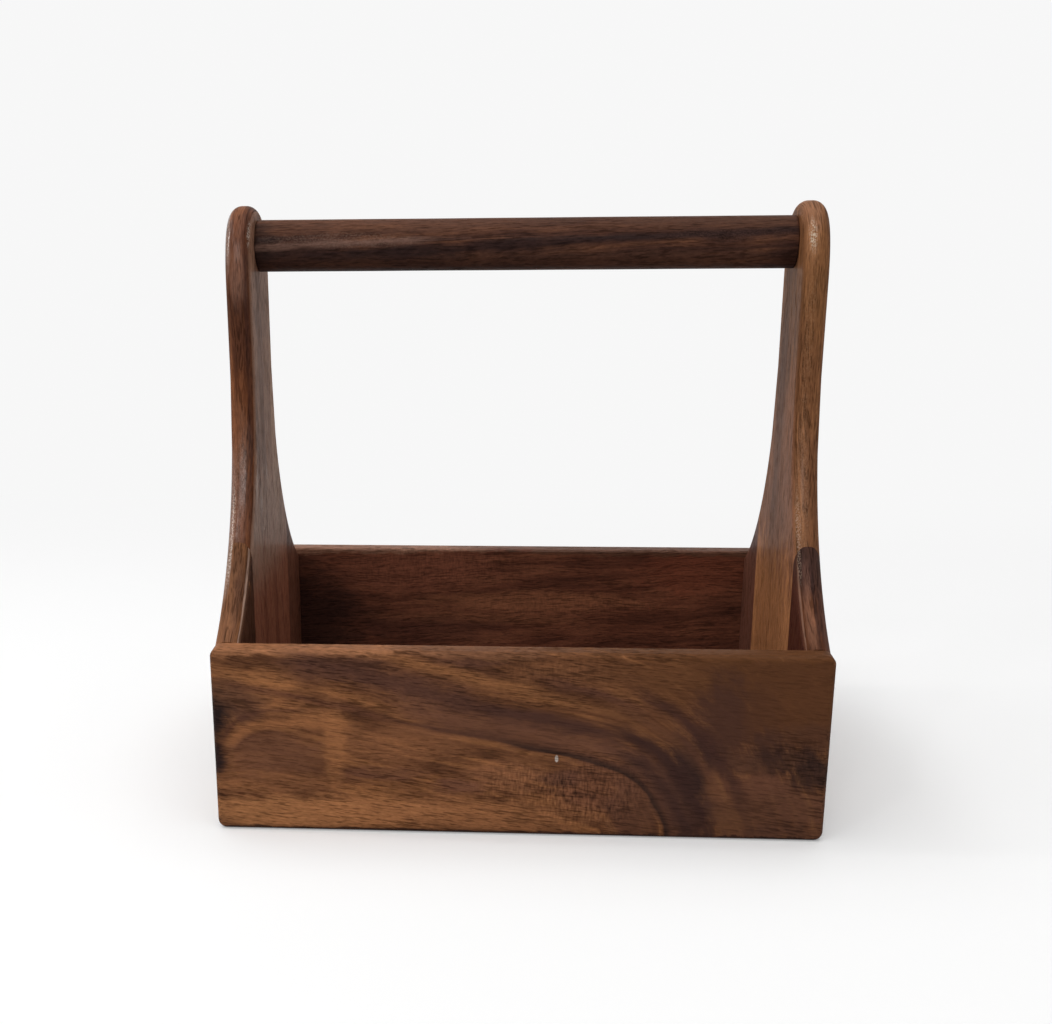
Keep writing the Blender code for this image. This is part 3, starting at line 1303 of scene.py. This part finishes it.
@dataclass
class HandleRail:
    """The round rail between the ends, with a turned tenon on each tip.

    Two slow waves leave the sanded look of hand work. Their rates are radians
    for each metre along the rail, and their twists radians round it.
    """

    wood: Wood
    tenon_diameter: float = 0.016
    tenon_length: float = 0.0085
    tenon_chamfer: float = 0.0006
    end_round: float = 0.0008
    round_steps: int = 6
    length_steps: int = 160
    sides: int = 96
    hand_work: float = 0.00005
    wave_rates: tuple[float, float] = (95.0, 41.0)
    wave_twists: tuple[float, float] = (2.0, 3.0)

    def surface(self) -> Skin:
        """Turn the rail's profile: its radius goes round the axis as a cosine and a sine.

        Returns:
            The rail's skin.
        """
        low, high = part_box("handle")
        radius = (high.z - low.z) / 2
        tenon = self.tenon_diameter / 2
        tip = high.x
        shoulder = tip - self.tenon_length - (low.x + high.x) / 2
        turn = np.linspace(0.0, QUARTER_TURN, self.round_steps)
        run = np.linspace(1.0, 0.0, self.length_steps // 2)[1:]
        start = shoulder - self.end_round
        half_radius = np.concatenate([
            [0.0, tenon - self.tenon_chamfer, tenon, tenon],
            radius - self.end_round * (1 - np.sin(turn)), np.full(run.shape, radius)])
        half_place = np.concatenate([
            [tip, tip, tip - self.tenon_chamfer, shoulder],
            shoulder - self.end_round * (1 - np.cos(turn)), start * run])
        radii = np.concatenate([half_radius, half_radius[:-1][::-1]])[:, None]
        places = np.concatenate([half_place, -half_place[:-1][::-1]])[:, None]
        angle = np.linspace(0.0, math.tau, self.sides + 1)
        sways = (np.cos(angle), np.sin(angle))
        waves = sum(
            np.sin(places * rate + twist * sway)
            for rate, twist, sway in zip(self.wave_rates, self.wave_twists, sways)) / 2
        on_rail = np.clip((start - np.abs(places)) / self.end_round, 0.0, 1.0)
        radii = radii - self.hand_work * (1 + waves) / 2 * on_rail
        axis_z = (low.z + high.z) / 2
        skin = Skin("handle_rail")
        skin.add(places, radii * np.cos(angle), axis_z + radii * np.sin(angle))
        return skin

    def build(self) -> None:
        """Make the rail."""
        dress(self.surface().sew(), self.wood, "handle")


@dataclass
class InnerPieces:
    """The floor and the dowel pins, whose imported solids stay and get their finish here."""

    floor_wood: Wood
    pin_wood: Wood

    def build(self) -> None:
        """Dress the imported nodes."""
        pins = [pin for face in Face for pin in pins_in(tuple(Side), face)]
        for wood, names in ((self.floor_wood, ["floor_panel"]), (self.pin_wood, pins)):
            material = wood.build()
            for name in names:
                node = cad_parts[name]
                if not node.material_slots:
                    node.data.materials.append(material)
                for each in node.material_slots:
                    each.material = material
                LOG.info("%s: keeps its packed solid", name)


# Studio

CADDY_MIDDLE = (0.0, 0.0, 0.1)


@dataclass(frozen=True)
class Lamp:
    """A soft box that lights the caddy and isn't seen itself."""

    name: str
    place: Point
    target: Point
    width: float
    height: float
    power: float

    def hang(self) -> None:
        """Hang the lamp and turn it to its target."""
        light = bpy.data.lights.new(self.name, "AREA")
        light.shape = "RECTANGLE"
        light.size = self.width
        light.size_y = self.height
        light.energy = self.power
        lamp = add_object(self.name, light)
        lamp.location = self.place
        ahead = Vector(self.target) - Vector(self.place)
        lamp.rotation_euler = ahead.to_track_quat("-Z", "Y").to_euler()
        lamp.visible_camera = False


@dataclass(frozen=True)
class Viewpoint:
    """The camera of the photograph, solved from the caddy's own edges."""

    place: Point = (-0.00082, -0.76234, 0.30586)
    yaw: float = -0.0786
    pitch: float = 0.3017
    roll: float = 0.0109
    focal_pixels: float = 1431.1
    centre_pixel: tuple[float, float] = (408.9, 637.7)
    picture_pixels: tuple[float, float] = (1052.0, 1024.0)
    sensor_width: float = 36.0
    clip_start: float = 0.01

    def build(self) -> None:
        """Set up the scene's camera."""
        level = Vector((math.cos(self.yaw), -math.sin(self.yaw), 0.0))
        ahead = Vector((
            math.sin(self.yaw) * math.cos(self.pitch),
            math.cos(self.yaw) * math.cos(self.pitch), -math.sin(self.pitch)))
        down = ahead.cross(level)
        right = level * math.cos(self.roll) + down * math.sin(self.roll)
        below = down * math.cos(self.roll) - level * math.sin(self.roll)
        turn = Matrix((right, -below, -ahead)).transposed().to_4x4()
        width, height = self.picture_pixels
        data = bpy.data.cameras.new("camera")
        data.sensor_width = self.sensor_width
        data.lens = self.sensor_width * self.focal_pixels / width
        data.shift_x = (width / 2 - self.centre_pixel[0]) / width
        data.shift_y = (self.centre_pixel[1] - height / 2) / width
        data.dof.use_dof = False
        data.clip_start = self.clip_start
        camera = add_object("camera", data)
        camera.matrix_world = Matrix.Translation(self.place) @ turn
        bpy.context.scene.camera = camera


@dataclass
class Studio:
    """A seamless pale sweep of floor and wall, soft boxes and a pale world."""

    wall_place: float = 2.6
    floor_reach: float = 2.4
    half_width: float = 5.0
    bend_radius: float = 0.8
    bend_steps: int = 24
    wall_height: float = 3.0
    near_glow: Colour = (0.985, 0.985, 0.985)
    far_glow: Colour = (0.932, 0.932, 0.932)
    near_place: float = -0.15
    far_place: float = 0.55
    lit_near: float = 0.80
    lit_far: float = 0.50
    shadow_near: float = 0.05
    shadow_far: float = 0.11
    lit_place: float = 0.10
    unlit_place: float = 0.70
    bounce_colour: Colour = (0.80, 0.80, 0.80)
    world_colour: Colour = (0.932, 0.932, 0.932)
    world_light: Colour = (0.25, 0.25, 0.25)
    lamps: tuple[Lamp, ...] = (
        Lamp("roof_box", (-0.50, 0.00, 2.40), (-0.50, 0.00, 0.0), 3.20, 2.60, 47.5),
        Lamp("front_box", (-0.30, -2.20, 1.50), CADDY_MIDDLE, 1.20, 0.80, 13.0),
        Lamp("left_strip", (-1.50, -0.02, 0.90), CADDY_MIDDLE, 0.06, 0.75, 4.0),
        Lamp("front_spot", (-0.72, -1.00, 1.30), CADDY_MIDDLE, 0.10, 0.10, 1.2))

    def _backdrop(self) -> None:
        """Make the floor and the wall as one bent sheet: a line, an arc up and a line up."""
        turn = np.linspace(0.0, QUARTER_TURN, self.bend_steps)
        bend_y = self.wall_place - self.bend_radius + self.bend_radius * np.sin(turn)
        y = np.concatenate([[-self.floor_reach], bend_y, [self.wall_place]])
        z = np.concatenate([[0.0], self.bend_radius * (1 - np.cos(turn)), [self.wall_height]])
        skin = Skin("backdrop")
        skin.add(self.half_width * np.array([-1.0, 1.0]), y[:, None], z[:, None])
        sheet = skin.lay()
        sheet.data.materials.append(self._paper())

    def _paper(self) -> bpy.types.Material:
        """Mix the sweep's paper.

        Seen directly or mirrored it is near white, a little greyer far back, and
        part of that is light that falls on it, so that the caddy's shadow shows.
        That part shrinks with the distance from the caddy's foot. For light
        that bounces from it, it is plain pale paper.

        Returns:
            The material.
        """
        bench = Bench(bpy.data.materials.new("backdrop_paper"))
        width, depth = bench.place("XY")
        far = bench.smooth(depth, self.near_place, self.far_place)
        glow = bench.mix(far, self.near_glow, self.far_glow)
        corner = CAD_BOX[1]
        distance = bench.hypot(
            (abs(width) - corner.x).at_least(0.0), (abs(depth) - corner.y).at_least(0.0))
        lit = bench.smooth(
            distance, self.shadow_near, self.shadow_far, self.lit_near, self.lit_far)
        near = bench.smooth(depth, self.lit_place, self.unlit_place, 1.0, 0.0)
        shown = bench.node("MixShader", inputs={
            0: lit * near,
            1: bench.node("Emission", inputs={"Color": glow}),
            2: bench.node("BsdfDiffuse", inputs={"Color": WHITE})})
        plain = bench.node("BsdfDiffuse", inputs={"Color": (*self.bounce_colour, 1.0)})
        return bench.finish(bench.node(
            "MixShader", inputs={0: bench.seen(), 1: plain, 2: shown}))

    def _world(self) -> None:
        """Light the room evenly, and show it near white."""
        bench = Bench(bpy.data.worlds.new("studio_world"))
        even, shown = (
            bench.node("Background", inputs={"Color": (*colour, 1.0)})
            for colour in (self.world_light, self.world_colour))
        bpy.context.scene.world = bench.finish(bench.node(
            "MixShader", inputs={0: bench.seen(), 1: even, 2: shown}))

    def build(self) -> None:
        """Set the stage."""
        self._backdrop()
        self._world()
        for lamp in self.lamps:
            lamp.hang()
        bpy.context.scene.view_settings.view_transform = "Standard"


# Finishes of this caddy


def tones(deep: Colour, middle: Colour, light: Colour) -> Tones:
    """Return the tones of three colours in thousandths."""
    return Tones(*(tuple(part / 1000 for part in colour) for colour in (deep, middle, light)))


FRONT_WOOD = Wood(
    name="front_panel_wood", slot="panel_wood", grain=Grain.WALL,
    tones=tones((86, 33, 15), (160, 63, 27), (262, 106, 41)),
    rings=BentRings(centre_along=40.0, centre_across=3.2, slope=0.22, face_through=-110.0),
    knots=(Knot(-151, 50, 26, 34),),
    patches=Area.rows(
        (-56, 48, 32, 10, (270, 109, 48), 55), (-66, 32, 22, 3.4, (125, 50, 30), 60),
        (-5, 31, 18, 8, (270, 110, 51), 60), (38, 25, 20, 14, (135, 53, 29), 72),
        (22, 31, 10, 4, (105, 44, 28), 60), (-29, 26, 12, 4.5, (135, 54, 34), 70),
        (-112, 10, 46, 8.5, (440, 188, 75), 65), (-72, 12, 34, 9, (400, 166, 67), 66),
        (-20, 10, 46, 8, (345, 142, 59), 66), (-108, 66, 24, 5, (300, 122, 50), 45),
        (-122, 26, 30, 6, (270, 110, 47), 50), (-50, 84, 40, 8.5, (118, 47, 26), 55),
        (-26, 90, 16, 3.2, (100, 41, 26), 65), (32, 86, 34, 5, (205, 83, 37), 50),
        (88, 86, 46, 13, (120, 47, 19), 85), (130, 77, 42, 30, (98, 37, 15), 94),
        (99, 60, 15, 24, (68, 28, 18), 88), (117, 66, 9, 15, (88, 34, 16), 75),
        (124, 18, 34, 15, (112, 46, 26), 85), (128, 3, 34, 5, (90, 38, 24), 60),
        (57, 13, 13, 19, (112, 46, 26), 80), (82, 29, 13, 25, (35, 17, 15), 94),
        (90, 15, 9, 9, (78, 34, 23), 75), (104, 11, 13, 6, (135, 56, 26), 70),
        (102, 29, 10, 9, (178, 73, 34), 74), (116, 29, 14, 6, (130, 52, 29), 80),
        (112, 41, 10, 6, (95, 40, 23), 78), (138, 54, 20, 7, (85, 34, 18), 80),
        (120, 50, 9, 7, (62, 26, 17), 75), (131, 43, 15, 7, (40, 18, 13), 85),
        (144, 35, 12, 8, (34, 16, 12), 88), (-119, 41.5, 25, 11.5, (166, 68, 36), 68),
        (-139, 67, 16, 10, (98, 42, 26), 75), (-151.5, 63, 10.5, 14, (17, 10, 10), 97),
        (-151.5, 39, 7.5, 11.5, (20, 11, 11), 97), (-89.5, 47, 5.2, 20, (340, 138, 54), 62),
        (-97, 60, 14, 4.5, (350, 142, 55), 50), (-120, 78.5, 14, 7, (390, 160, 61), 48),
        (-143, 74, 9, 8, (135, 58, 29), 55), (-90, 86, 26, 7.5, (105, 43, 26), 62),
        (19.4, 41.5, 0.8, 2, None, 1, 0.5, (560, 500, 450), 90),
        # The next three rows colour the top edge: painted light on the rounded top, lighter at the
        # left and darker at the right, over the board's tone
        (-120, 98.5, 95, 6.8, None, 1, 0.4, (330, 140, 64), 85),
        (-20, 98.5, 45, 6.8, None, 1, 0.4, (185, 78, 37), 80),
        (100, 98.5, 95, 6.8, None, 1, 0.4, (112, 43, 16), 90),
        # Painted shade down the right-hand arris
        (152, 46, 1.9, 70, None, 1, 0.4, (36, 16, 11), 85),
        # Painted contact shadow along the bottom edge
        (0, -1.2, 400, 3.4, None, 1, 0.3, (30, 13, 9), 90)),
    lines=Band.rows(
        (41, 5.5, 5, -150, -122, 20, (310, 128, 50), 50),
        (65.5, 5.5, 4.5, -62, 10, 25, (275, 113, 44), 80),
        (63.5, 3.4, 3.4, 8, 52, 25, (215, 88, 36), 72), (66, 4, 4, 48, 82, 25, (150, 61, 30), 72),
        (69, 4, 4, 78, 98, 25, (120, 48, 26), 75),
        (34.4, 2.8, 3.2, -140, -62, 25, (110, 42, 24), 70),
        (44.5, 14, 13, -58, 84, 25, (146, 60, 34), 88),
        (54.5, 11, 9, -112, -16, 25, (90, 37, 24), 92),
        (52.5, 9, 5, -22, 48, 25, (62, 26, 19), 88), (56, 10, 6.5, 46, 104, 25, (44, 19, 15), 94),
        (45, 9, 6, 48, 112, 25, (50, 22, 17), 90), (35.6, 1.5, 7, -40, 100, 25, (85, 35, 22), 70),
        (35.6, 1, 2, -62, -4, 25, (85, 35, 22), 70),
        (35.4, 1.2, 3, -4, 120, 25, (36, 18, 13), 86), (71, 4, 4.5, 12, 62, 25, (96, 38, 23), 82),
        (78, 6.5, 6.5, 60, 112, 25, (56, 23, 17), 86)) + Lid.rows(
        (-119, 40, 24, 17, 3.6, -86, (300, 120, 48), 85),
        (-119, 40, 20, 12.5, 0.8, -112, (105, 41, 24), 45),
        (-119, 42, 27, 22, 1.8, -104, (80, 31, 20), 60)),
    ripples=(
        Area(36, 22, 24, 16, strength=1.9), Area(4, 27, 24, 10, strength=1.2),
        Area(14, 86, 26, 7, strength=0.7), Area(140, 42, 15, 10, strength=0.9)),
    calms=(
        Area(118, 78, 50, 26, strength=0.65), Area(10, 56, 80, 10, strength=0.55),
        Area(92, 30, 36, 40, strength=0.45), Area(-118, 44, 40, 16, strength=0.35)),
    grain_depth=1.3, pore_depth=0.46, lacquer=0.04, seed=3.0)

BACK_WOOD = Wood(
    name="back_panel_wood", slot="panel_wood", grain=Grain.WALL,
    tones=tones((82, 29, 18), (135, 47, 27), (200, 74, 40)),
    rings=StraightRings(pith_across=-60.0, pith_through=60.0, slant=-0.05),
    knots=(Knot(-38, 84, 16, 8, 0.5),),
    patches=Area.rows(
        (-80, 82, 60, 14, (230, 80, 46), 60), (10, 62, 60, 6, (275, 108, 54), 68),
        (-30, 51, 60, 4, (240, 94, 48), 58), (110, 82, 34, 16, (200, 58, 31), 60),
        # The first row on the next line is painted shade: the left corner of the inner face, which
        # the left end shades
        (-140, 40, 40, 44, (30, 14, 12), 85), (-60, 44, 52, 8, (75, 28, 20), 55),
        # The next two rows are painted light on the rounded top edge, lighter at the left
        (-110, 98.5, 110, 7, None, 1, 0.3, (280, 138, 87), 88),
        (90, 98.5, 130, 7, None, 1, 0.3, (115, 52, 31), 90),
        # The next two rows are a painted highlight: a paler band at the top of the inner face,
        # standing in for the lit rounding
        (-60, 96, 130, 3.6, 96.5, 1.5, 0.3, (360, 180, 110), 80),
        (110, 96, 90, 3.6, 96.5, 1.5, 0.3, (150, 70, 40), 85)),
    ripples=(
        Area(-50, 84, 60, 12, strength=0.9), Area(30, 60, 60, 8, strength=0.7)),
    contrast=0.90, grain_depth=1.35, pore_depth=0.40, lacquer=0.16, seed=11.0)

FLOOR_WOOD = Wood(
    name="floor_panel_wood", slot="panel_wood", grain=Grain.FLOOR,
    tones=tones((80, 34, 18), (130, 55, 27), (180, 80, 38)),
    rings=StraightRings(pith_across=-150.0, pith_through=-60.0, slant=0.03),
    seed=23.0)

HANDLE_WOOD = Wood(
    name="handle_rail_wood", slot="handle_wood", grain=Grain.WALL,
    tones=tones((34, 15, 11), (66, 27, 17), (130, 53, 28)),
    rings=StraightRings(pith_across=240.0, pith_through=-40.0, slant=-0.04),
    patches=Area.rows(
        (-70, 293, 90, 7, (125, 52, 29), 60), (96, 293, 90, 7, (64, 26, 15), 75),
        # This row darkens the underside, less in the middle: painted shade under the rail
        (-80, 272, 80, 6, (26, 12, 10), 60), (40, 273, 110, 4, (78, 34, 21), 50),
        # Painted shade at both tips, where the rail meets the ends
        (-138, 279, 12, 13, (22, 11, 9), 70), (138, 274, 14, 8, (28, 12, 10), 60)),
    lines=Band.rows(
        # The first band is a painted highlight: a pale streak along the rail's front, at the left
        (53.4, 2.4, 2, -150, -50, 25, (200, 108, 80), 65),
        (49.4, 4.4, 2.6, -110, 160, 60, (22, 11, 10), 88)),
    # Painted glints along the front of the rail
    painted_glints=Area.rows(
        (-92, 283, 34, 3.4, (240, 150, 115), 22), (104, 284, 34, 3, (120, 60, 44), 18)),
    ring_width=4.5, wander=5.0, grain_depth=1.25, lacquer=0.035, seed=31.0)

PIN_WOOD = Wood(
    name="dowel_pin_wood", slot="pin_wood", grain=Grain.PIN,
    tones=tones((250, 150, 75), (330, 210, 110), (420, 280, 160)),
    rings=StraightRings(pith_across=20.0, pith_through=60.0),
    ring_width=1.4, wander=1.0, lacquer=0.0, roughness=0.7)

STAVE_TONES = {
    "dark": tones((60, 21, 14), (110, 39, 23), (175, 66, 36)),
    "red": tones((62, 20, 9), (118, 39, 16), (225, 79, 32)),
    "tan": tones((130, 52, 22), (205, 85, 36), (300, 128, 54)),
}


def stave_wood(side: Side, place: str, shade: str, seed: float,
               patches: tuple[Area, ...], shines: tuple[Area, ...] = (),
               painted_glints: tuple[Area, ...] = (), lacquer: float = 0.11) -> Wood:
    """Return the wood of one stave.

    Args:
        side: The end that it belongs to.
        place: Its place in the end.
        shade: Its tones, which name its slot too.
        seed: Where its noise starts.
        patches: Its darker and paler areas, some of them painted light and shade.
        shines: Where its lacquer is thicker.
        painted_glints: Where pale glints are painted into its colour, standing in for highlights.
        lacquer: How thick the lacquer is elsewhere.

    Returns:
        A finish with upright grain and long arches on the rounded edge.
    """
    return Wood(
        name=f"{side.word}_{place}_stave_wood", slot=f"{shade}_stave_wood",
        grain=Grain.STAVE, tones=STAVE_TONES[shade],
        rings=StaveRings(pith_through=side.value * StaveRings.pith_through),
        patches=patches, shines=shines, painted_glints=painted_glints, ring_width=5.0, wander=4.0,
        grain_depth=1.25, pore_depth=0.46, lacquer=lacquer, seed=seed)


LEFT_WOODS = {
    "front": stave_wood(
        Side.LEFT, "front", "tan", 41.0, lacquer=0.06,
        patches=Area.rows(
            # Painted shade on the inner face, inside the box
            (80, -60, 90, 80, -135, 3, 0.3, (72, 28, 17), 88),
            (127, -75, 16, 30, -143, 6, (110, 46, 24), 65),
            (112, -78, 12, 30, -140, 3.2, (98, 40, 22), 65),
            (98, -90, 14, 60, -144, 7, (190, 80, 40), 50),
            # Painted highlight: a pale line along the inner arris
            (122, -80, 40, 60, -138.3, 0.42, 0.5, (450, 280, 205), 85)),
        shines=(
            Area(128, -75, 18, 60, -148.6, 2, strength=0.6),
            Area(122, -80, 40, 60, -138.3, 0.6, strength=0.3)),
        # Painted glints down the outer arris
        painted_glints=Area.rows((130, -72, 14, 60, -148, 1.2, (550, 430, 350), 80))),
    "middle": stave_wood(
        Side.LEFT, "middle", "red", 43.0, lacquer=0.08,
        patches=Area.rows(
            # Paler and greyer over the inner face: wood tone with painted light and painted sheen
            (150, 0, 220, 90, -137, 0.9, (365, 200, 130), 80),
            (205, -9, 80, 7, -137, 0.9, (120, 50, 28), 62),
            (170, -24, 50, 5, -137, 0.9, (130, 55, 32), 60),
            (170, 26, 90, 8, -137, 0.9, (520, 320, 215), 55),
            # Painted light: the lower inner face, inside the box, made paler
            (48, 0, 70, 220, -137, 1.6, 0.5, (350, 122, 68), 80),
            (70, 12, 40, 5, -137, 0.9, (160, 52, 30), 60),
            (70, -22, 40, 5, -137, 0.9, (210, 72, 40), 60),
            (246, 0, 30, 90, -144, 6, (66, 23, 12), 74),
            (268, 0, 12, 90, -143.5, 5, (230, 104, 64), 62),
            (286, 0, 10, 90, -143.5, 4.5, (150, 58, 33), 62),
            # Painted sheen: paler and greyer on the inner face, where it catches a grazing
            # reflection
            (134, 0, 26, 90, -137, 0.9, (430, 275, 200), 50),
            (186, 0, 24, 90, -146.5, 4.5, (215, 82, 38), 65),
            (148, 0, 18, 90, -145, 6, (165, 62, 34), 50),
            # Painted shade: darker on the inner side of the rounded edge, which faces away from
            # the lamps
            (220, 0, 90, 90, -139.2, 1.2, 0.6, (52, 18, 11), 70)),
        shines=(
            Area(142, -40, 24, 60, -148.6, 2.2, strength=0.7),
            Area(158, -30, 30, 60, -144, 5, strength=0.4),
            Area(266, -20, 16, 50, -143, 3.8, strength=0.26),
            Area(284, -20, 12, 30, -148.6, 2.4, strength=0.8)),
        # Painted glints and sheen on the outer arris, the crown and the inner arris
        painted_glints=Area.rows(
            (142, -45, 18, 60, -147.6, 1.2, (460, 310, 220), 75),
            (160, -30, 26, 60, -144.6, 3, (340, 200, 140), 26),
            (284, -20, 10, 30, -148.4, 1.2, (460, 310, 220), 42),
            (286, -16, 6, 12, -138, 0.7, (550, 450, 380), 75))),
    "back": stave_wood(
        Side.LEFT, "back", "dark", 47.0,
        # Painted light: the lower inner face, inside the box, made paler
        patches=Area.rows((48, 0, 70, 220, -137, 1.6, 0.5, (200, 80, 48), 80))),
}
RIGHT_WOODS = {
    "front": stave_wood(
        Side.RIGHT, "front", "red", 53.0, lacquer=0.06,
        patches=Area.rows(
            # Painted shade on the inner face, inside the box
            (80, -60, 90, 80, 135, 3, 0.3, (90, 26, 16), 90),
            (128, -60, 14, 30, 144, 7, 0.7, (42, 21, 17), 88),
            (119, -66, 9, 30, 141.6, 1.8, (120, 52, 36), 70),
            (104, -82, 14, 30, 141.6, 2.4, (200, 84, 46), 75),
            (113, -74, 18, 30, 144.6, 1, (40, 16, 12), 80),
            (108, -74, 26, 40, 147.8, 2, (72, 32, 23), 75),
            # Painted highlight: a pale line along the inner arris
            (110, -76, 26, 40, 138.2, 0.4, 0.5, (260, 135, 90), 70)),
        # Painted glints on the inner arris
        painted_glints=Area.rows((128, -62, 8, 40, 139, 0.8, (460, 310, 220), 35))),
    "middle": stave_wood(
        Side.RIGHT, "middle", "tan", 59.0, lacquer=0.06,
        patches=Area.rows(
            # The first two rows are painted light on the inner face inside the box, the second on
            # its lower part
            (120, 0, 90, 90, 137, 1, (330, 140, 75), 70),
            (48, 0, 70, 220, 137, 1.6, 0.5, (520, 222, 92), 85),
            (210, 12, 90, 12, 137, 1, (120, 56, 36), 60),
            (262, 0, 30, 90, 144, 7, (215, 92, 36), 75),
            (158, -40, 30, 60, 145.5, 3.6, (120, 47, 22), 62),
            (288, 0, 8, 90, 148.5, 2.4, (110, 46, 22), 50),
            # Paler on the crown's inner side: golden tone and a painted highlight
            (282, 0, 11, 90, 141.5, 3.2, (330, 150, 68), 60),
            (294, 0, 8, 90, 142, 4, (280, 130, 72), 55)),
        shines=(Area(160, -30, 40, 50, 141.5, 3, strength=0.14),),
        # Painted glints and sheen on the crown and along the inner side of the edge
        painted_glints=Area.rows(
            (282, -17, 8, 14, 141, 1.8, (660, 550, 420), 85),
            (143, -42, 13, 50, 139.2, 1.1, (460, 310, 220), 60),
            (162, -30, 36, 50, 141.4, 2.8, (340, 180, 100), 30),
            (240, -24, 40, 40, 141.4, 2.4, (360, 190, 100), 24))),
    "back": stave_wood(
        Side.RIGHT, "back", "dark", 61.0,
        # Painted light: the lower inner face, inside the box, made paler
        patches=Area.rows((48, 0, 70, 220, 137, 1.6, 0.5, (160, 64, 42), 80))),
}


def main() -> None:
    """Build the caddy and its studio in order."""
    logging.basicConfig(level=logging.INFO, format="%(name)s: %(message)s")
    WallPanel(Face.FRONT, FRONT_WOOD).build()
    WallPanel(Face.BACK, BACK_WOOD).build()
    EndBoard(Side.LEFT, LEFT_WOODS).build()
    EndBoard(Side.RIGHT, RIGHT_WOODS).build()
    HandleRail(HANDLE_WOOD).build()
    InnerPieces(FLOOR_WOOD, PIN_WOOD).build()
    Studio().build()
    Viewpoint().build()


if __name__ == "__main__":
    main()
